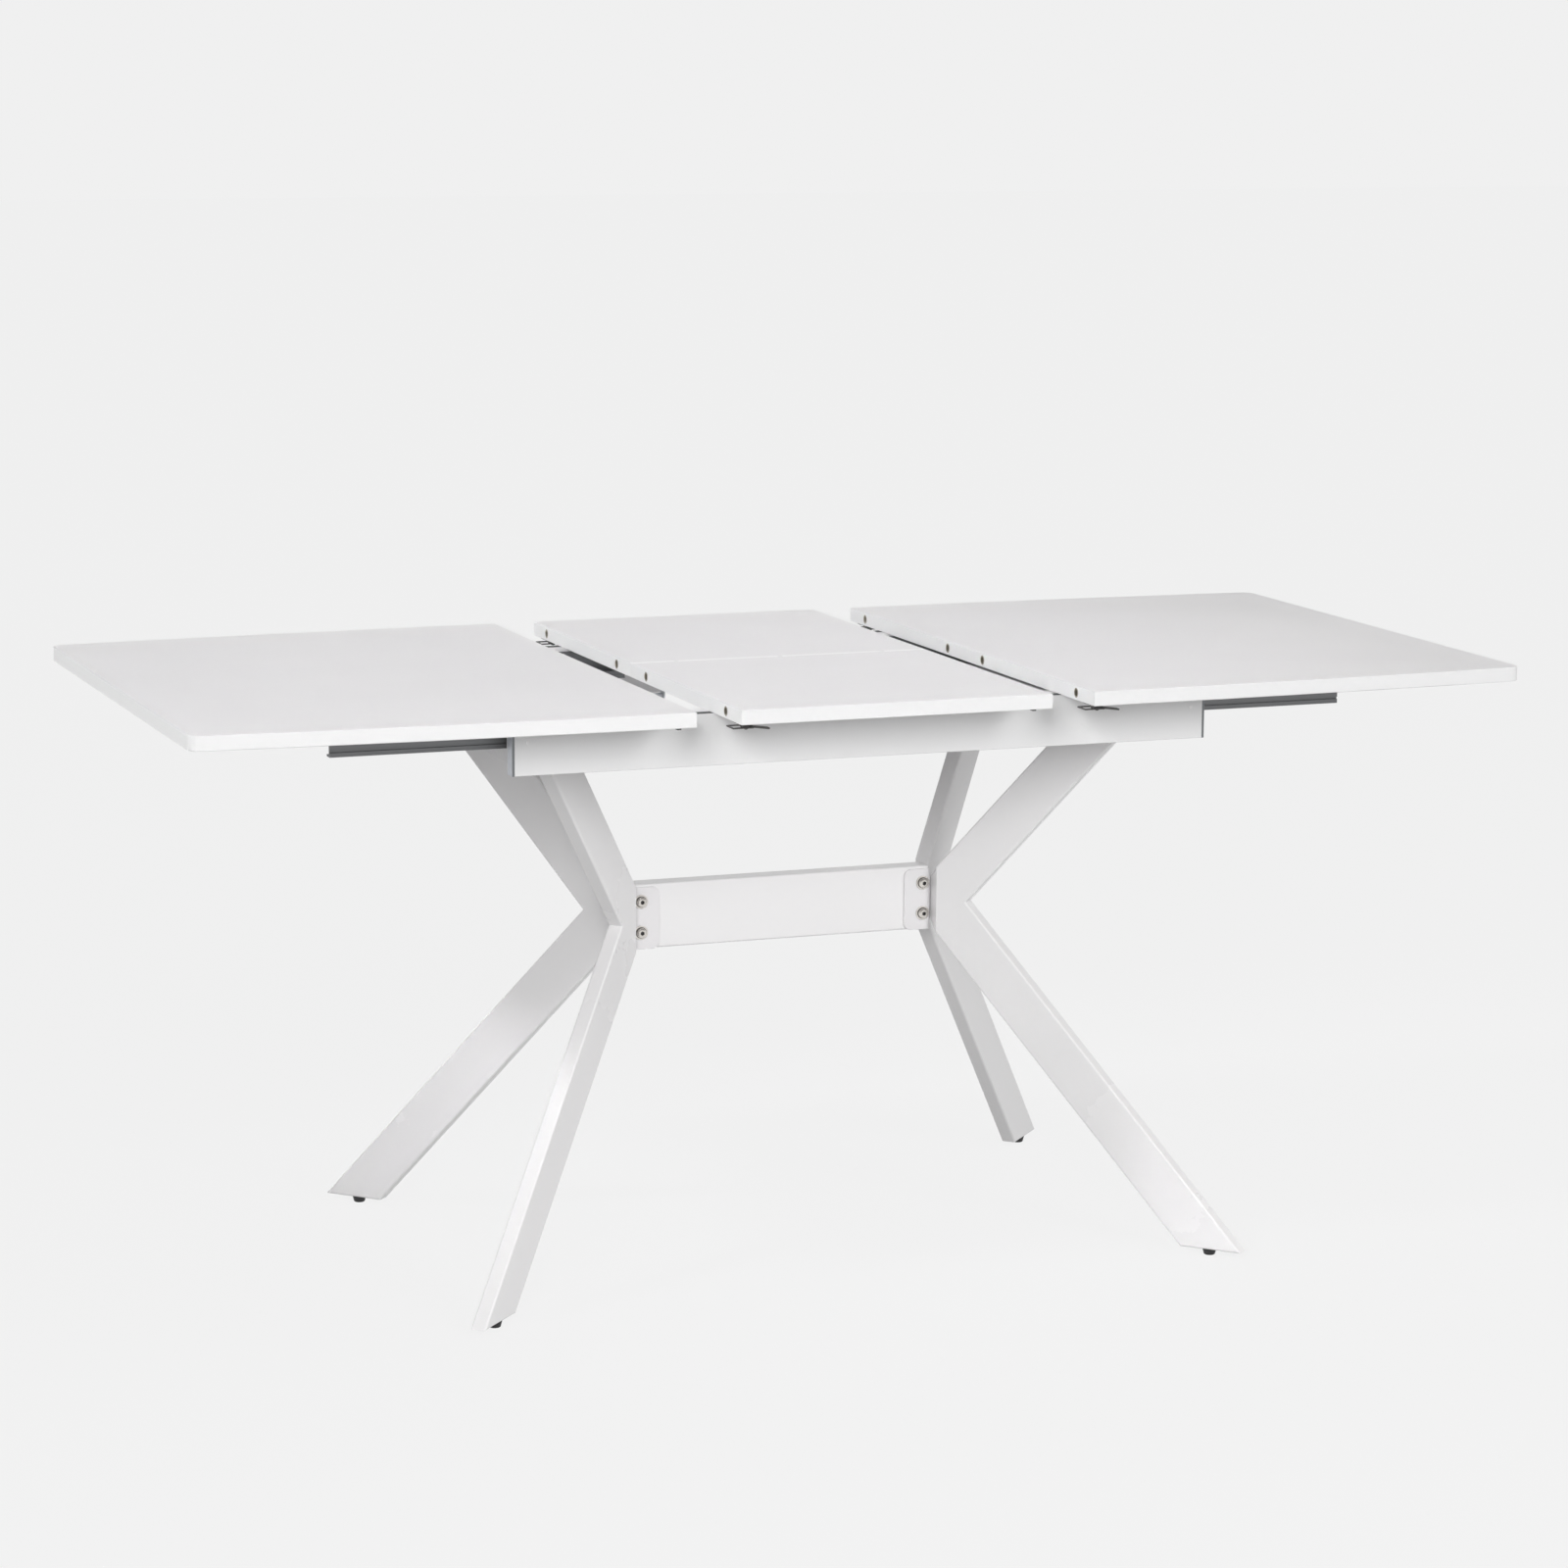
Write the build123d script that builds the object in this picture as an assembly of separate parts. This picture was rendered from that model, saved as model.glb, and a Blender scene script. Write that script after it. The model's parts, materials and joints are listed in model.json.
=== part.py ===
from build123d import *
import os
from math import acos, atan2, cos, degrees, hypot, radians, sin, tan

# Extendable dining table, pulled apart with its folding insert laid in place.
# Millimetres, +X along the length, +Z up, origin on the floor under the middle of the insert.

# Table top
TOP_HEIGHT = 750.0
TOP_THICKNESS = 18.0
TOP_WIDTH = 800.0
LEAF_LENGTH = 600.0
LEAF_BOW = 20.0
LEAF_CORNER_RADIUS = 15.0
PANEL_EDGE_RADIUS = 0.8
INSERT_LENGTH = 400.0
SEAM_GAP = 0.6
FOLD_GAP = 0.6
REST_GAP = 55.5

# Dowel pins and brass sockets in the meeting edges
DOWEL_INNER_Y = 57.0
DOWEL_EDGE_DISTANCE = 54.0
PIN_DIAMETER = 8.0
PIN_DEPTH = 15.0
PIN_REACH = 10.0
PIN_CHAMFER = 1.5
SOCKET_CLEARANCE = 0.15
BUSH_DIAMETER = 10.0
BUSH_DEPTH = 14.0
BUSH_RIM_DIAMETER = 12.0
BUSH_RIM_DEPTH = 1.0
SEAT_CLEARANCE = 0.05

# Frame under the top
FRAME_LENGTH = 903.2
APRON_SETBACK = 97.5
APRON_THICKNESS = 18.0
APRON_HEIGHT = 63.0
APRON_EDGE_RADIUS = 1.0
TOP_CLEARANCE = 0.5
BATTEN_THICKNESS = 22.0
BATTEN_INSET = 2.7
END_PLATE_THICKNESS = 3.4
END_PLATE_EDGE_RADIUS = 0.8
CROSS_BOARD_WIDTH = 140.0
CROSS_BOARD_THICKNESS = 20.0
CROSS_BOARD_INSET = 19.7
CROSS_BOARD_RAISE = 1.0
WELL_RAIL_THICKNESS = 18.0
WELL_SIDE_CLEARANCE = 12.0
WELL_RAIL_DROP = 2.0
WELL_END_CLEARANCE = 2.5

# Slides
BAR_LENGTH = 398.0
BAR_INSET = 7.0
BAR_HEIGHT = 36.5
BAR_DEPTH = 13.2
BAR_WEB = 4.0
BAR_FLANGE = 2.4
CHANNEL_LENGTH = 312.0
CHANNEL_INSET = 10.7
CHANNEL_WALL = 2.0
CHANNEL_TOP_DROP = 2.5
LIP_HEIGHT = 8.0
TONGUE_THICKNESS = 2.0
TONGUE_REACH = 3.7
TONGUE_EDGE_DISTANCE = 6.5
BAR_SIDE_GAP = 2.2
RUN_CLEARANCE = 0.3
BAR_SCREW_COUNT = 4
BAR_SCREW_END_DISTANCE = 30.0
BAR_SCREW_DIAMETER = 4.0
BAR_SCREW_HEAD_DIAMETER = 8.0
BAR_SCREW_HEAD_HEIGHT = 2.5
BAR_SCREW_HEAD_CHAMFER = 1.0
BAR_SCREW_BITE = 12.0

# Folding hinges in the insert's seam
HINGE_COUNT = 3
HINGE_SPACING = 140.0
BARREL_DIAMETER = 14.0
BARREL_LENGTH = 16.0
HINGE_PIN_OFFSET = 6.4
HINGE_PIN_DIAMETER = 2.4
LINK_LENGTH = 10.4
LINK_THICKNESS = 2.5
LINK_HALF_WIDTH = 1.2
LINK_EYE_RADIUS = 2.0
LINK_SIDE_GAP = 0.4
POCKET_CLEARANCE = 0.4
RUNNING_FIT = 0.05

# Pivots that carry the insert
PIVOT_Y = -100.0
PIVOT_DROP = 8.0
PIVOT_PIN_DIAMETER = 6.0
PIVOT_PLATE_LENGTH = 40.0
PIVOT_PLATE_WIDTH = 24.0
PIVOT_PLATE_THICKNESS = 2.0
PIVOT_PLATE_INSET = 6.0
PIVOT_LUG_RADIUS = 6.0
PIVOT_PIN_BITE = 12.0

# Toggle latches and keepers
LATCH_EDGE_DISTANCE = 30.0
LATCH_PLATE_START = 3.0
LATCH_PLATE_LENGTH = 28.0
LATCH_PLATE_WIDTH = 22.0
LATCH_PLATE_THICKNESS = 1.5
LATCH_PIVOT_INSET = 15.0
LATCH_PIVOT_DROP = 5.5
LATCH_PIN_DIAMETER = 2.5
EAR_RADIUS = 4.0
EAR_INNER_HALF = 4.2
EAR_THICKNESS = 1.2
LEVER_LENGTH = 30.0
LEVER_THICKNESS = 2.2
LEVER_HALF_WIDTH = 3.8
LEVER_HUB_RADIUS = 3.2
LEVER_EYE_RADIUS = 2.2
LEVER_DROOP = 8.0
CRANK_RADIUS = 7.0
BAIL_WIRE_DIAMETER = 2.0
BAIL_HALF_WIDTH = 11.0
BAIL_REACH = 3.0
KEEPER_START = 6.0
KEEPER_LENGTH = 16.0
KEEPER_WIDTH = 16.0
KEEPER_THICKNESS = 1.5
HOOK_INSET = 10.0
HOOK_WIDTH = 8.0
HOOK_DROP = 6.0
HOOK_LIP = 5.0

# Legs
LEG_WIDTH = 60.0
LEG_THICKNESS = 20.0
LEG_WALL = 2.0
LEG_END_WALL = 3.0
LEG_EDGE_RADIUS = 2.5
LEG_APEX_X = 185.0
LEG_NOTCH_OUT = 80.0
LEG_FOOT_OFFSET = 4.3
KNEE_HEIGHT = 427.5
LEG_PLATE_LENGTH = 110.0
LEG_PLATE_WIDTH = 70.0
LEG_PLATE_THICKNESS = 5.0
LEG_PLATE_RADIUS = 6.0
LEG_BOLT_ALONG = 42.0
LEG_BOLT_ACROSS = 24.0
LEG_BOLT_DIAMETER = 6.0
LEG_BOLT_BITE = 15.0
LEG_BOLT_HEAD_WIDTH = 10.0
LEG_BOLT_HEAD_HEIGHT = 4.0

# Feet
FOOT_X = 476.0
FOOT_SETBACK = 97.0
FOOT_HEIGHT = 8.0
FOOT_TOP_RADIUS = 9.0
FOOT_BOTTOM_RADIUS = 7.0
FOOT_EDGE_CHAMFER = 0.8
FOOT_STEM_DIAMETER = 8.0
FOOT_STEM_LENGTH = 14.0
FOOT_TURN_CLEARANCE = 0.3

# Knee brackets and stretcher
STRETCHER_HEIGHT = 83.0
STRETCHER_DEPTH = 30.0
STRETCHER_WALL = 2.0
STRETCHER_EDGE_RADIUS = 3.0
STRETCHER_END_GAP = 0.5
BRACKET_PLATE = 3.0
BRACKET_HEIGHT = 80.0
BRACKET_DROP = 1.8
BRACKET_FREE_X = 167.5
BRACKET_BACK_X = 205.0
BRACKET_CORNER_RADIUS = 10.0
BRACKET_BEND_RADIUS = 5.0
BRACKET_EDGE_RADIUS = 0.8
BOLT_X = 192.8
BOLT_SPACING = 40.0
BOLT_DIAMETER = 8.0
BOLT_HOLE_DIAMETER = 8.4
BOLT_HEAD_DIAMETER = 13.0
BOLT_HEAD_HEIGHT = 5.0
BOLT_HEAD_RADIUS = 3.4
BOLT_SOCKET_WIDTH = 5.0
BOLT_SOCKET_DEPTH = 3.0
BOLT_END_PROUD = 1.5
WASHER_DIAMETER = 18.0
WASHER_THICKNESS = 1.6
NUT_WIDTH = 13.0
NUT_HEIGHT = 6.5

# Places that follow from the sizes above
UNDERSIDE = TOP_HEIGHT - TOP_THICKNESS
MID_HEIGHT = TOP_HEIGHT - TOP_THICKNESS / 2
HALF_WIDTH = TOP_WIDTH / 2
HALF_INSERT = INSERT_LENGTH / 2
LEFT_EDGE = -HALF_INSERT - REST_GAP
RIGHT_EDGE = HALF_INSERT + REST_GAP
APRON_TOP = UNDERSIDE - TOP_CLEARANCE
APRON_BOTTOM = APRON_TOP - APRON_HEIGHT
APRON_OUTER_Y = HALF_WIDTH - APRON_SETBACK
BOARD_HALF_LENGTH = FRAME_LENGTH / 2 - END_PLATE_THICKNESS
APRON_INNER_Y = APRON_OUTER_Y - APRON_THICKNESS
BATTEN_INNER_Y = APRON_INNER_Y - BATTEN_THICKNESS
BATTEN_HALF_LENGTH = BOARD_HALF_LENGTH - BATTEN_INSET
BAR_OUTER_Y = BATTEN_INNER_Y - CHANNEL_WALL - BAR_SIDE_GAP
BAR_INNER_Y = BAR_OUTER_Y - BAR_DEPTH
BAR_BOTTOM = UNDERSIDE - BAR_HEIGHT
CHANNEL_SEAT = BAR_BOTTOM - RUN_CLEARANCE
CHANNEL_BOTTOM = CHANNEL_SEAT - CHANNEL_WALL
CHANNEL_LIP_Y = BAR_INNER_Y - RUN_CLEARANCE - CHANNEL_WALL
CHANNEL_END = BOARD_HALF_LENGTH - CHANNEL_INSET
CROSS_BOARD_BOTTOM = APRON_BOTTOM + CROSS_BOARD_RAISE
CROSS_BOARD_X = BOARD_HALF_LENGTH - CROSS_BOARD_INSET - CROSS_BOARD_WIDTH / 2
LEG_TOP = CROSS_BOARD_BOTTOM - LEG_PLATE_THICKNESS
FOOT_Y = HALF_WIDTH - FOOT_SETBACK
LEG_TURN = degrees(atan2(FOOT_Y, FOOT_X - LEG_APEX_X))
LEG_TOP_OUT = (CROSS_BOARD_X - LEG_APEX_X) / cos(radians(LEG_TURN))
LEG_END_OUT = (FOOT_X - LEG_APEX_X) / cos(radians(LEG_TURN)) + LEG_FOOT_OFFSET
BRACKET_MIDDLE = KNEE_HEIGHT - BRACKET_DROP
WELL_RAIL_X = HALF_INSERT + WELL_SIDE_CLEARANCE
WELL_RAIL_TOP = APRON_TOP - WELL_RAIL_DROP
PIVOT_HEIGHT = UNDERSIDE - PIVOT_DROP
FOLD_AXIS = TOP_HEIGHT + FOLD_GAP / 2
DOWEL_OUTER_Y = HALF_WIDTH - DOWEL_EDGE_DISTANCE
DOWEL_YS = (-DOWEL_OUTER_Y, -DOWEL_INNER_Y, DOWEL_INNER_Y, DOWEL_OUTER_Y)
LATCH_Y = HALF_WIDTH - LATCH_EDGE_DISTANCE
CUT_MARGIN = 1.0


def save(shape, name):
    """Write one sub-part to its own file."""
    export_step(shape, f"parts/{name}.step")


def group(shapes):
    """Several separate solids as one sub-part."""
    return Compound([solid for shape in shapes for solid in shape.solids()])


def block(x0, x1, y0, y1, z0, z1):
    """A box between two corners."""
    middle = Pos((x0 + x1) / 2, (y0 + y1) / 2, (z0 + z1) / 2)
    return middle * Box(x1 - x0, y1 - y0, z1 - z0)


def patch(u0, u1, v0, v1):
    """A flat rectangle between two corners."""
    return Pos((u0 + u1) / 2, (v0 + v1) / 2) * Rectangle(u1 - u0, v1 - v0)


def rod_x(x0, x1, y, z, diameter):
    """A round bar along X."""
    return Pos((x0 + x1) / 2, y, z) * Rot(0, 90, 0) * Cylinder(diameter / 2, x1 - x0)


def rod_y(x, y0, y1, z, diameter):
    """A round bar along Y."""
    return Pos(x, (y0 + y1) / 2, z) * Rot(90, 0, 0) * Cylinder(diameter / 2, y1 - y0)


def rod_z(x, y, z0, z1, diameter):
    """A round bar along Z."""
    return Pos(x, y, (z0 + z1) / 2) * Cylinder(diameter / 2, z1 - z0)


def front(shape):
    """The same piece on the front side."""
    return mirror(shape, about=Plane.XZ)


def left(shape):
    """The same piece at the left end."""
    return mirror(shape, about=Plane.YZ)


def along_x(profile, x0, x1):
    """A section in Y and Z drawn out along X."""
    return Pos(x0, 0, 0) * extrude(Plane.YZ * profile, amount=x1 - x0)


def rounded_panel(outline, edge_radius):
    """A top panel with softened edges, drawn out downwards from the top surface."""
    panel = extrude(Pos(0, 0, UNDERSIDE) * outline, amount=TOP_THICKNESS)
    rims = panel.faces().filter_by(Axis.Z)
    return fillet([edge for face in rims for edge in face.edges()], edge_radius)


def leaf_blank():
    """A leaf whose long sides bow inwards to the outer end, with its inner edge at x = 0."""
    end_half = HALF_WIDTH - LEAF_BOW
    sides = [
        TangentArc((0, side * HALF_WIDTH), (LEAF_LENGTH, side * end_half), tangent=(1, 0))
        for side in (-1, 1)
    ]
    ends = [
        Line((x, -half), (x, half)) for x, half in ((0, HALF_WIDTH), (LEAF_LENGTH, end_half))
    ]
    outline = make_face(sides + ends)
    corners = outline.vertices().sort_by(Axis.X)[-2:]
    return rounded_panel(fillet(corners, LEAF_CORNER_RADIUS), PANEL_EDGE_RADIUS)


def insert_blank():
    """The back half of the insert."""
    outline = patch(-HALF_INSERT, HALF_INSERT, SEAM_GAP / 2, HALF_WIDTH)
    return rounded_panel(outline, PANEL_EDGE_RADIUS)


def dowel_pin(face_x, y):
    """A dowel pin that stands out of a right-hand edge, with a chamfered nose."""
    pin = rod_x(face_x - PIN_DEPTH, face_x + PIN_REACH, y, MID_HEIGHT, PIN_DIAMETER)
    return chamfer(pin.edges().sort_by(Axis.X)[-1], PIN_CHAMFER)


def pin_hole(face_x, y):
    """The hole that a dowel pin is set in."""
    size = PIN_DIAMETER + 2 * SEAT_CLEARANCE
    return rod_x(face_x - PIN_DEPTH, face_x + CUT_MARGIN, y, MID_HEIGHT, size)


def bush_bore(face_x, y):
    """The bore of a socket."""
    size = PIN_DIAMETER + 2 * SOCKET_CLEARANCE
    return rod_x(face_x - CUT_MARGIN, face_x + BUSH_DEPTH, y, MID_HEIGHT, size)


def bush_body(face_x, y, extra):
    """A socket bush and its rim, let into a left-hand edge."""
    start = face_x - 2 * extra
    sleeve = rod_x(start, face_x + BUSH_DEPTH, y, MID_HEIGHT, BUSH_DIAMETER + 2 * extra)
    rim_size = BUSH_RIM_DIAMETER + 2 * extra
    rim = rod_x(start, face_x + BUSH_RIM_DEPTH, y, MID_HEIGHT, rim_size)
    return sleeve + rim


def socket_bush(face_x, y):
    """A brass socket bush."""
    return bush_body(face_x, y, 0) - bush_bore(face_x, y)


def hinge_places():
    """Where the folding hinges sit along the seam."""
    return [(i - (HINGE_COUNT - 1) / 2) * HINGE_SPACING for i in range(HINGE_COUNT)]


def link_angle():
    """The slope of a link at rest, from its pin down to the middle of the seam."""
    reach = 2 * HINGE_PIN_OFFSET
    depth = (reach + (4 * LINK_LENGTH**2 - reach**2) ** 0.5) / 2
    return degrees(atan2(depth - HINGE_PIN_OFFSET, HINGE_PIN_OFFSET))


def hinge_pocket(x):
    """The fan-shaped room that the links swing in, in the front half."""
    radius = LINK_LENGTH + LINK_EYE_RADIUS + POCKET_CLEARANCE
    low = -link_angle()
    rays = [(radius * cos(radians(a)), radius * sin(radians(a))) for a in (low, low + 90)]
    room = make_face(
        [Line((0, 0), rays[0]), CenterArc((0, 0), radius, low, 90), Line(rays[1], (0, 0))]
    )
    eye = Circle(LINK_EYE_RADIUS + POCKET_CLEARANCE)
    half_width = LINK_HALF_WIDTH + POCKET_CLEARANCE
    arm = patch(0, LINK_LENGTH, -half_width, half_width) + Pos(LINK_LENGTH, 0) * eye
    room += [eye, Rot(0, 0, low) * arm, Rot(0, 0, low + 90) * arm]
    half = LINK_THICKNESS + LINK_SIDE_GAP / 2 + POCKET_CLEARANCE
    return along_x(Pos(-HINGE_PIN_OFFSET, FOLD_AXIS - HINGE_PIN_OFFSET) * room, x - half, x + half)


def hinge_barrel(x):
    """A barrel let into the front half's seam edge, with the pin that its link turns on."""
    face = -SEAM_GAP / 2
    barrel = rod_y(x, face - BARREL_LENGTH, face, MID_HEIGHT, BARREL_DIAMETER)
    pin_z = FOLD_AXIS - HINGE_PIN_OFFSET
    half = LINK_THICKNESS + LINK_SIDE_GAP / 2 + POCKET_CLEARANCE
    pin = rod_x(x - half, x + half, -HINGE_PIN_OFFSET, pin_z, HINGE_PIN_DIAMETER)
    return barrel - hinge_pocket(x) + pin


def barrel_seat(x):
    """The bore for a hinge barrel, with the room for its links."""
    size = BARREL_DIAMETER + 2 * SEAT_CLEARANCE
    bore = rod_y(x, -SEAM_GAP / 2 - BARREL_LENGTH, 0, MID_HEIGHT, size)
    return bore + hinge_pocket(x)


def hinge_link(x0):
    """A link of the front half, from its pin to an eye at the middle of the seam."""
    bar = patch(0, LINK_LENGTH, -LINK_HALF_WIDTH, LINK_HALF_WIDTH)
    eyes = Circle(LINK_EYE_RADIUS) + Pos(LINK_LENGTH, 0) * Circle(LINK_EYE_RADIUS)
    bore = Circle(HINGE_PIN_DIAMETER / 2 + RUNNING_FIT)
    shape = Rot(0, 0, -link_angle()) * (bar + eyes - bore - Pos(LINK_LENGTH, 0) * bore)
    place = Pos(-HINGE_PIN_OFFSET, FOLD_AXIS - HINGE_PIN_OFFSET)
    return along_x(place * shape, x0, x0 + LINK_THICKNESS)


def slide_bar_profile():
    """A rolled bar with a deep web, two flanges and a guide groove near each edge."""
    bar = patch(BAR_INNER_Y, BAR_OUTER_Y, BAR_BOTTOM, UNDERSIDE)
    inside_y = BAR_OUTER_Y - BAR_WEB
    bar -= patch(BAR_INNER_Y - CUT_MARGIN, inside_y, BAR_BOTTOM + BAR_FLANGE, UNDERSIDE - BAR_FLANGE)
    floor_y = BATTEN_INNER_Y - CHANNEL_WALL - TONGUE_REACH - RUN_CLEARANCE
    half = TONGUE_THICKNESS / 2 + RUN_CLEARANCE
    for z in tongue_heights():
        bar -= patch(floor_y, BAR_OUTER_Y + CUT_MARGIN, z - half, z + half)
    return bar


def tongue_heights():
    """The heights at which the channel's tongues guide the bar."""
    return (BAR_BOTTOM + TONGUE_EDGE_DISTANCE, UNDERSIDE - TONGUE_EDGE_DISTANCE)


def channel_profile():
    """A fixed channel: web, two tongues, and a floor turned up into a lip."""
    web_y = BATTEN_INNER_Y - CHANNEL_WALL
    channel = patch(web_y, BATTEN_INNER_Y, CHANNEL_BOTTOM, APRON_TOP - CHANNEL_TOP_DROP)
    channel += patch(CHANNEL_LIP_Y, BATTEN_INNER_Y, CHANNEL_BOTTOM, CHANNEL_SEAT)
    lip_top = CHANNEL_SEAT + LIP_HEIGHT
    channel += patch(CHANNEL_LIP_Y, CHANNEL_LIP_Y + CHANNEL_WALL, CHANNEL_BOTTOM, lip_top)
    for z in tongue_heights():
        half = TONGUE_THICKNESS / 2
        channel += patch(web_y - TONGUE_REACH, web_y, z - half, z + half)
    return channel


def bar_screw_places():
    """Where the screws of a slide bar sit, from its inner end."""
    step = (BAR_LENGTH - 2 * BAR_SCREW_END_DISTANCE) / (BAR_SCREW_COUNT - 1)
    return [BAR_INSET + BAR_SCREW_END_DISTANCE + i * step for i in range(BAR_SCREW_COUNT)]


def bar_screw_shank(x, y, extra):
    """The shank of a slide bar's screw."""
    size = BAR_SCREW_DIAMETER + 2 * extra
    return rod_z(x, y, UNDERSIDE - BAR_FLANGE, UNDERSIDE + BAR_SCREW_BITE, size)


def bar_screw(x, y):
    """A pan-head screw, driven from below through the bar's upper flange."""
    seat = UNDERSIDE - BAR_FLANGE
    head = rod_z(x, y, seat - BAR_SCREW_HEAD_HEIGHT, seat, BAR_SCREW_HEAD_DIAMETER)
    head = chamfer(head.edges().sort_by(Axis.Z)[0], BAR_SCREW_HEAD_CHAMFER)
    return head + bar_screw_shank(x, y, 0)


def leaf_slides():
    """The two bars under a leaf, their screws and the screw holes, with the inner edge at x = 0."""
    screw_y = (BAR_INNER_Y + BAR_OUTER_Y - BAR_WEB) / 2
    places = [(x, y) for x in bar_screw_places() for y in (-screw_y, screw_y)]
    holes = [bar_screw_shank(x, y, SEAT_CLEARANCE) for x, y in places]
    bar = along_x(slide_bar_profile(), BAR_INSET, BAR_INSET + BAR_LENGTH)
    bars = [side - holes for side in (bar, front(bar))]
    return bars, [bar_screw(x, y) for x, y in places], holes


def latch_base():
    """A latch plate under a panel, with two ears and their pin, measured from the panel's edge."""
    plate = block(
        LATCH_PLATE_START,
        LATCH_PLATE_START + LATCH_PLATE_LENGTH,
        -LATCH_PLATE_WIDTH / 2,
        LATCH_PLATE_WIDTH / 2,
        -LATCH_PLATE_THICKNESS,
        0,
    )
    pivot = Pos(LATCH_PIVOT_INSET, -LATCH_PIVOT_DROP)
    cheek = pivot * (Circle(EAR_RADIUS) + patch(-EAR_RADIUS, EAR_RADIUS, 0, LATCH_PIVOT_DROP))
    outer = EAR_INNER_HALF + EAR_THICKNESS
    ears = extrude(Plane.XZ * cheek, amount=outer, both=True)
    gap = LATCH_PIVOT_DROP + EAR_RADIUS + CUT_MARGIN
    ears -= block(
        LATCH_PIVOT_INSET - 2 * EAR_RADIUS,
        LATCH_PIVOT_INSET + 2 * EAR_RADIUS,
        -EAR_INNER_HALF,
        EAR_INNER_HALF,
        -gap,
        -LATCH_PLATE_THICKNESS,
    )
    pin = rod_y(LATCH_PIVOT_INSET, -outer, outer, -LATCH_PIVOT_DROP, LATCH_PIN_DIAMETER)
    return plate + ears + pin


def latch_lever():
    """A latch lever with its hub and crank eye."""
    flat = patch(0, LEVER_LENGTH, -LEVER_THICKNESS / 2, LEVER_THICKNESS / 2)
    flat += Circle(LEVER_HUB_RADIUS) + Pos(CRANK_RADIUS, 0) * Circle(LEVER_EYE_RADIUS)
    flat += Pos(LEVER_LENGTH, 0) * Circle(LEVER_THICKNESS / 2)
    flat -= Circle(LATCH_PIN_DIAMETER / 2 + RUNNING_FIT)
    flat -= Pos(CRANK_RADIUS, 0) * Circle(BAIL_WIRE_DIAMETER / 2 + RUNNING_FIT)
    shape = Pos(LATCH_PIVOT_INSET, -LATCH_PIVOT_DROP) * Rot(0, 0, -LEVER_DROOP) * flat
    return extrude(Plane.XZ * shape, amount=LEVER_HALF_WIDTH, both=True)


def crank_place():
    """Where the bail turns on its lever, from the panel's edge and underside."""
    droop = radians(LEVER_DROOP)
    return LATCH_PIVOT_INSET + CRANK_RADIUS * cos(droop), -LATCH_PIVOT_DROP - CRANK_RADIUS * sin(droop)


def latch_bail():
    """A closed wire bail that turns in the lever's crank eye."""
    x, z = crank_place()
    ends = (-BAIL_REACH, x)
    sides = (-BAIL_HALF_WIDTH, BAIL_HALF_WIDTH)
    bars = [rod_y(u, *sides, z, BAIL_WIRE_DIAMETER) for u in ends]
    bars += [rod_x(*ends, v, z, BAIL_WIRE_DIAMETER) for v in sides]
    bends = [Pos(u, v, z) * Sphere(BAIL_WIRE_DIAMETER / 2) for u in ends for v in sides]
    return bars[0] + bars[1:] + bends


def keeper():
    """A keeper plate with a hook that the bail draws on, measured from the panel's edge."""
    plate = patch(-KEEPER_START - KEEPER_LENGTH, -KEEPER_START, -KEEPER_THICKNESS, 0)
    stem = patch(-HOOK_INSET - KEEPER_THICKNESS, -HOOK_INSET, -HOOK_DROP, 0)
    lip = patch(-HOOK_INSET - HOOK_LIP, -HOOK_INSET, -HOOK_DROP, -HOOK_DROP + KEEPER_THICKNESS)
    hook = extrude(Plane.XZ * (stem + lip), amount=HOOK_WIDTH / 2, both=True)
    return hook + extrude(Plane.XZ * plate, amount=KEEPER_WIDTH / 2, both=True)


def pivot_bracket():
    """A plate under the front half with a lug and the pin that it tips on, at the right end."""
    outer = HALF_INSERT - PIVOT_PLATE_INSET
    plate = block(
        outer - PIVOT_PLATE_WIDTH,
        outer,
        PIVOT_Y - PIVOT_PLATE_LENGTH / 2,
        PIVOT_Y + PIVOT_PLATE_LENGTH / 2,
        UNDERSIDE - PIVOT_PLATE_THICKNESS,
        UNDERSIDE,
    )
    lug = Circle(PIVOT_LUG_RADIUS) + patch(-PIVOT_LUG_RADIUS, PIVOT_LUG_RADIUS, 0, PIVOT_DROP)
    web = along_x(Pos(PIVOT_Y, PIVOT_HEIGHT) * lug, outer - PIVOT_PLATE_THICKNESS, outer)
    pin_end = WELL_RAIL_X + PIVOT_PIN_BITE
    pin = rod_x(outer - PIVOT_PLATE_THICKNESS, pin_end, PIVOT_Y, PIVOT_HEIGHT, PIVOT_PIN_DIAMETER)
    return plate + web + pin


def well_rail():
    """A cross rail at the right of the insert, cut away at its ends to pass under the channels."""
    shape = patch(-BATTEN_INNER_Y, BATTEN_INNER_Y, CROSS_BOARD_BOTTOM, CHANNEL_BOTTOM - WELL_END_CLEARANCE)
    shoulder = CHANNEL_LIP_Y - WELL_END_CLEARANCE
    shape += patch(-shoulder, shoulder, CROSS_BOARD_BOTTOM, WELL_RAIL_TOP)
    shape -= Pos(PIVOT_Y, PIVOT_HEIGHT) * Circle(PIVOT_PIN_DIAMETER / 2 + SEAT_CLEARANCE)
    return along_x(shape, WELL_RAIL_X, WELL_RAIL_X + WELL_RAIL_THICKNESS)


def arm_tilt(end, rise):
    """The slope of an arm whose end has its middle at a given distance out and above the knee."""
    out = end - LEG_NOTCH_OUT
    return degrees(acos(LEG_WIDTH / 2 / hypot(out, rise)) - atan2(out, rise))


def upper_tilt():
    """The slope of the arm that runs up to the cross board."""
    return arm_tilt(LEG_TOP_OUT, LEG_TOP - KNEE_HEIGHT)


def lower_tilt():
    """The slope of the arm that runs down to the foot."""
    return arm_tilt(LEG_END_OUT, KNEE_HEIGHT - FOOT_HEIGHT)


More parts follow.
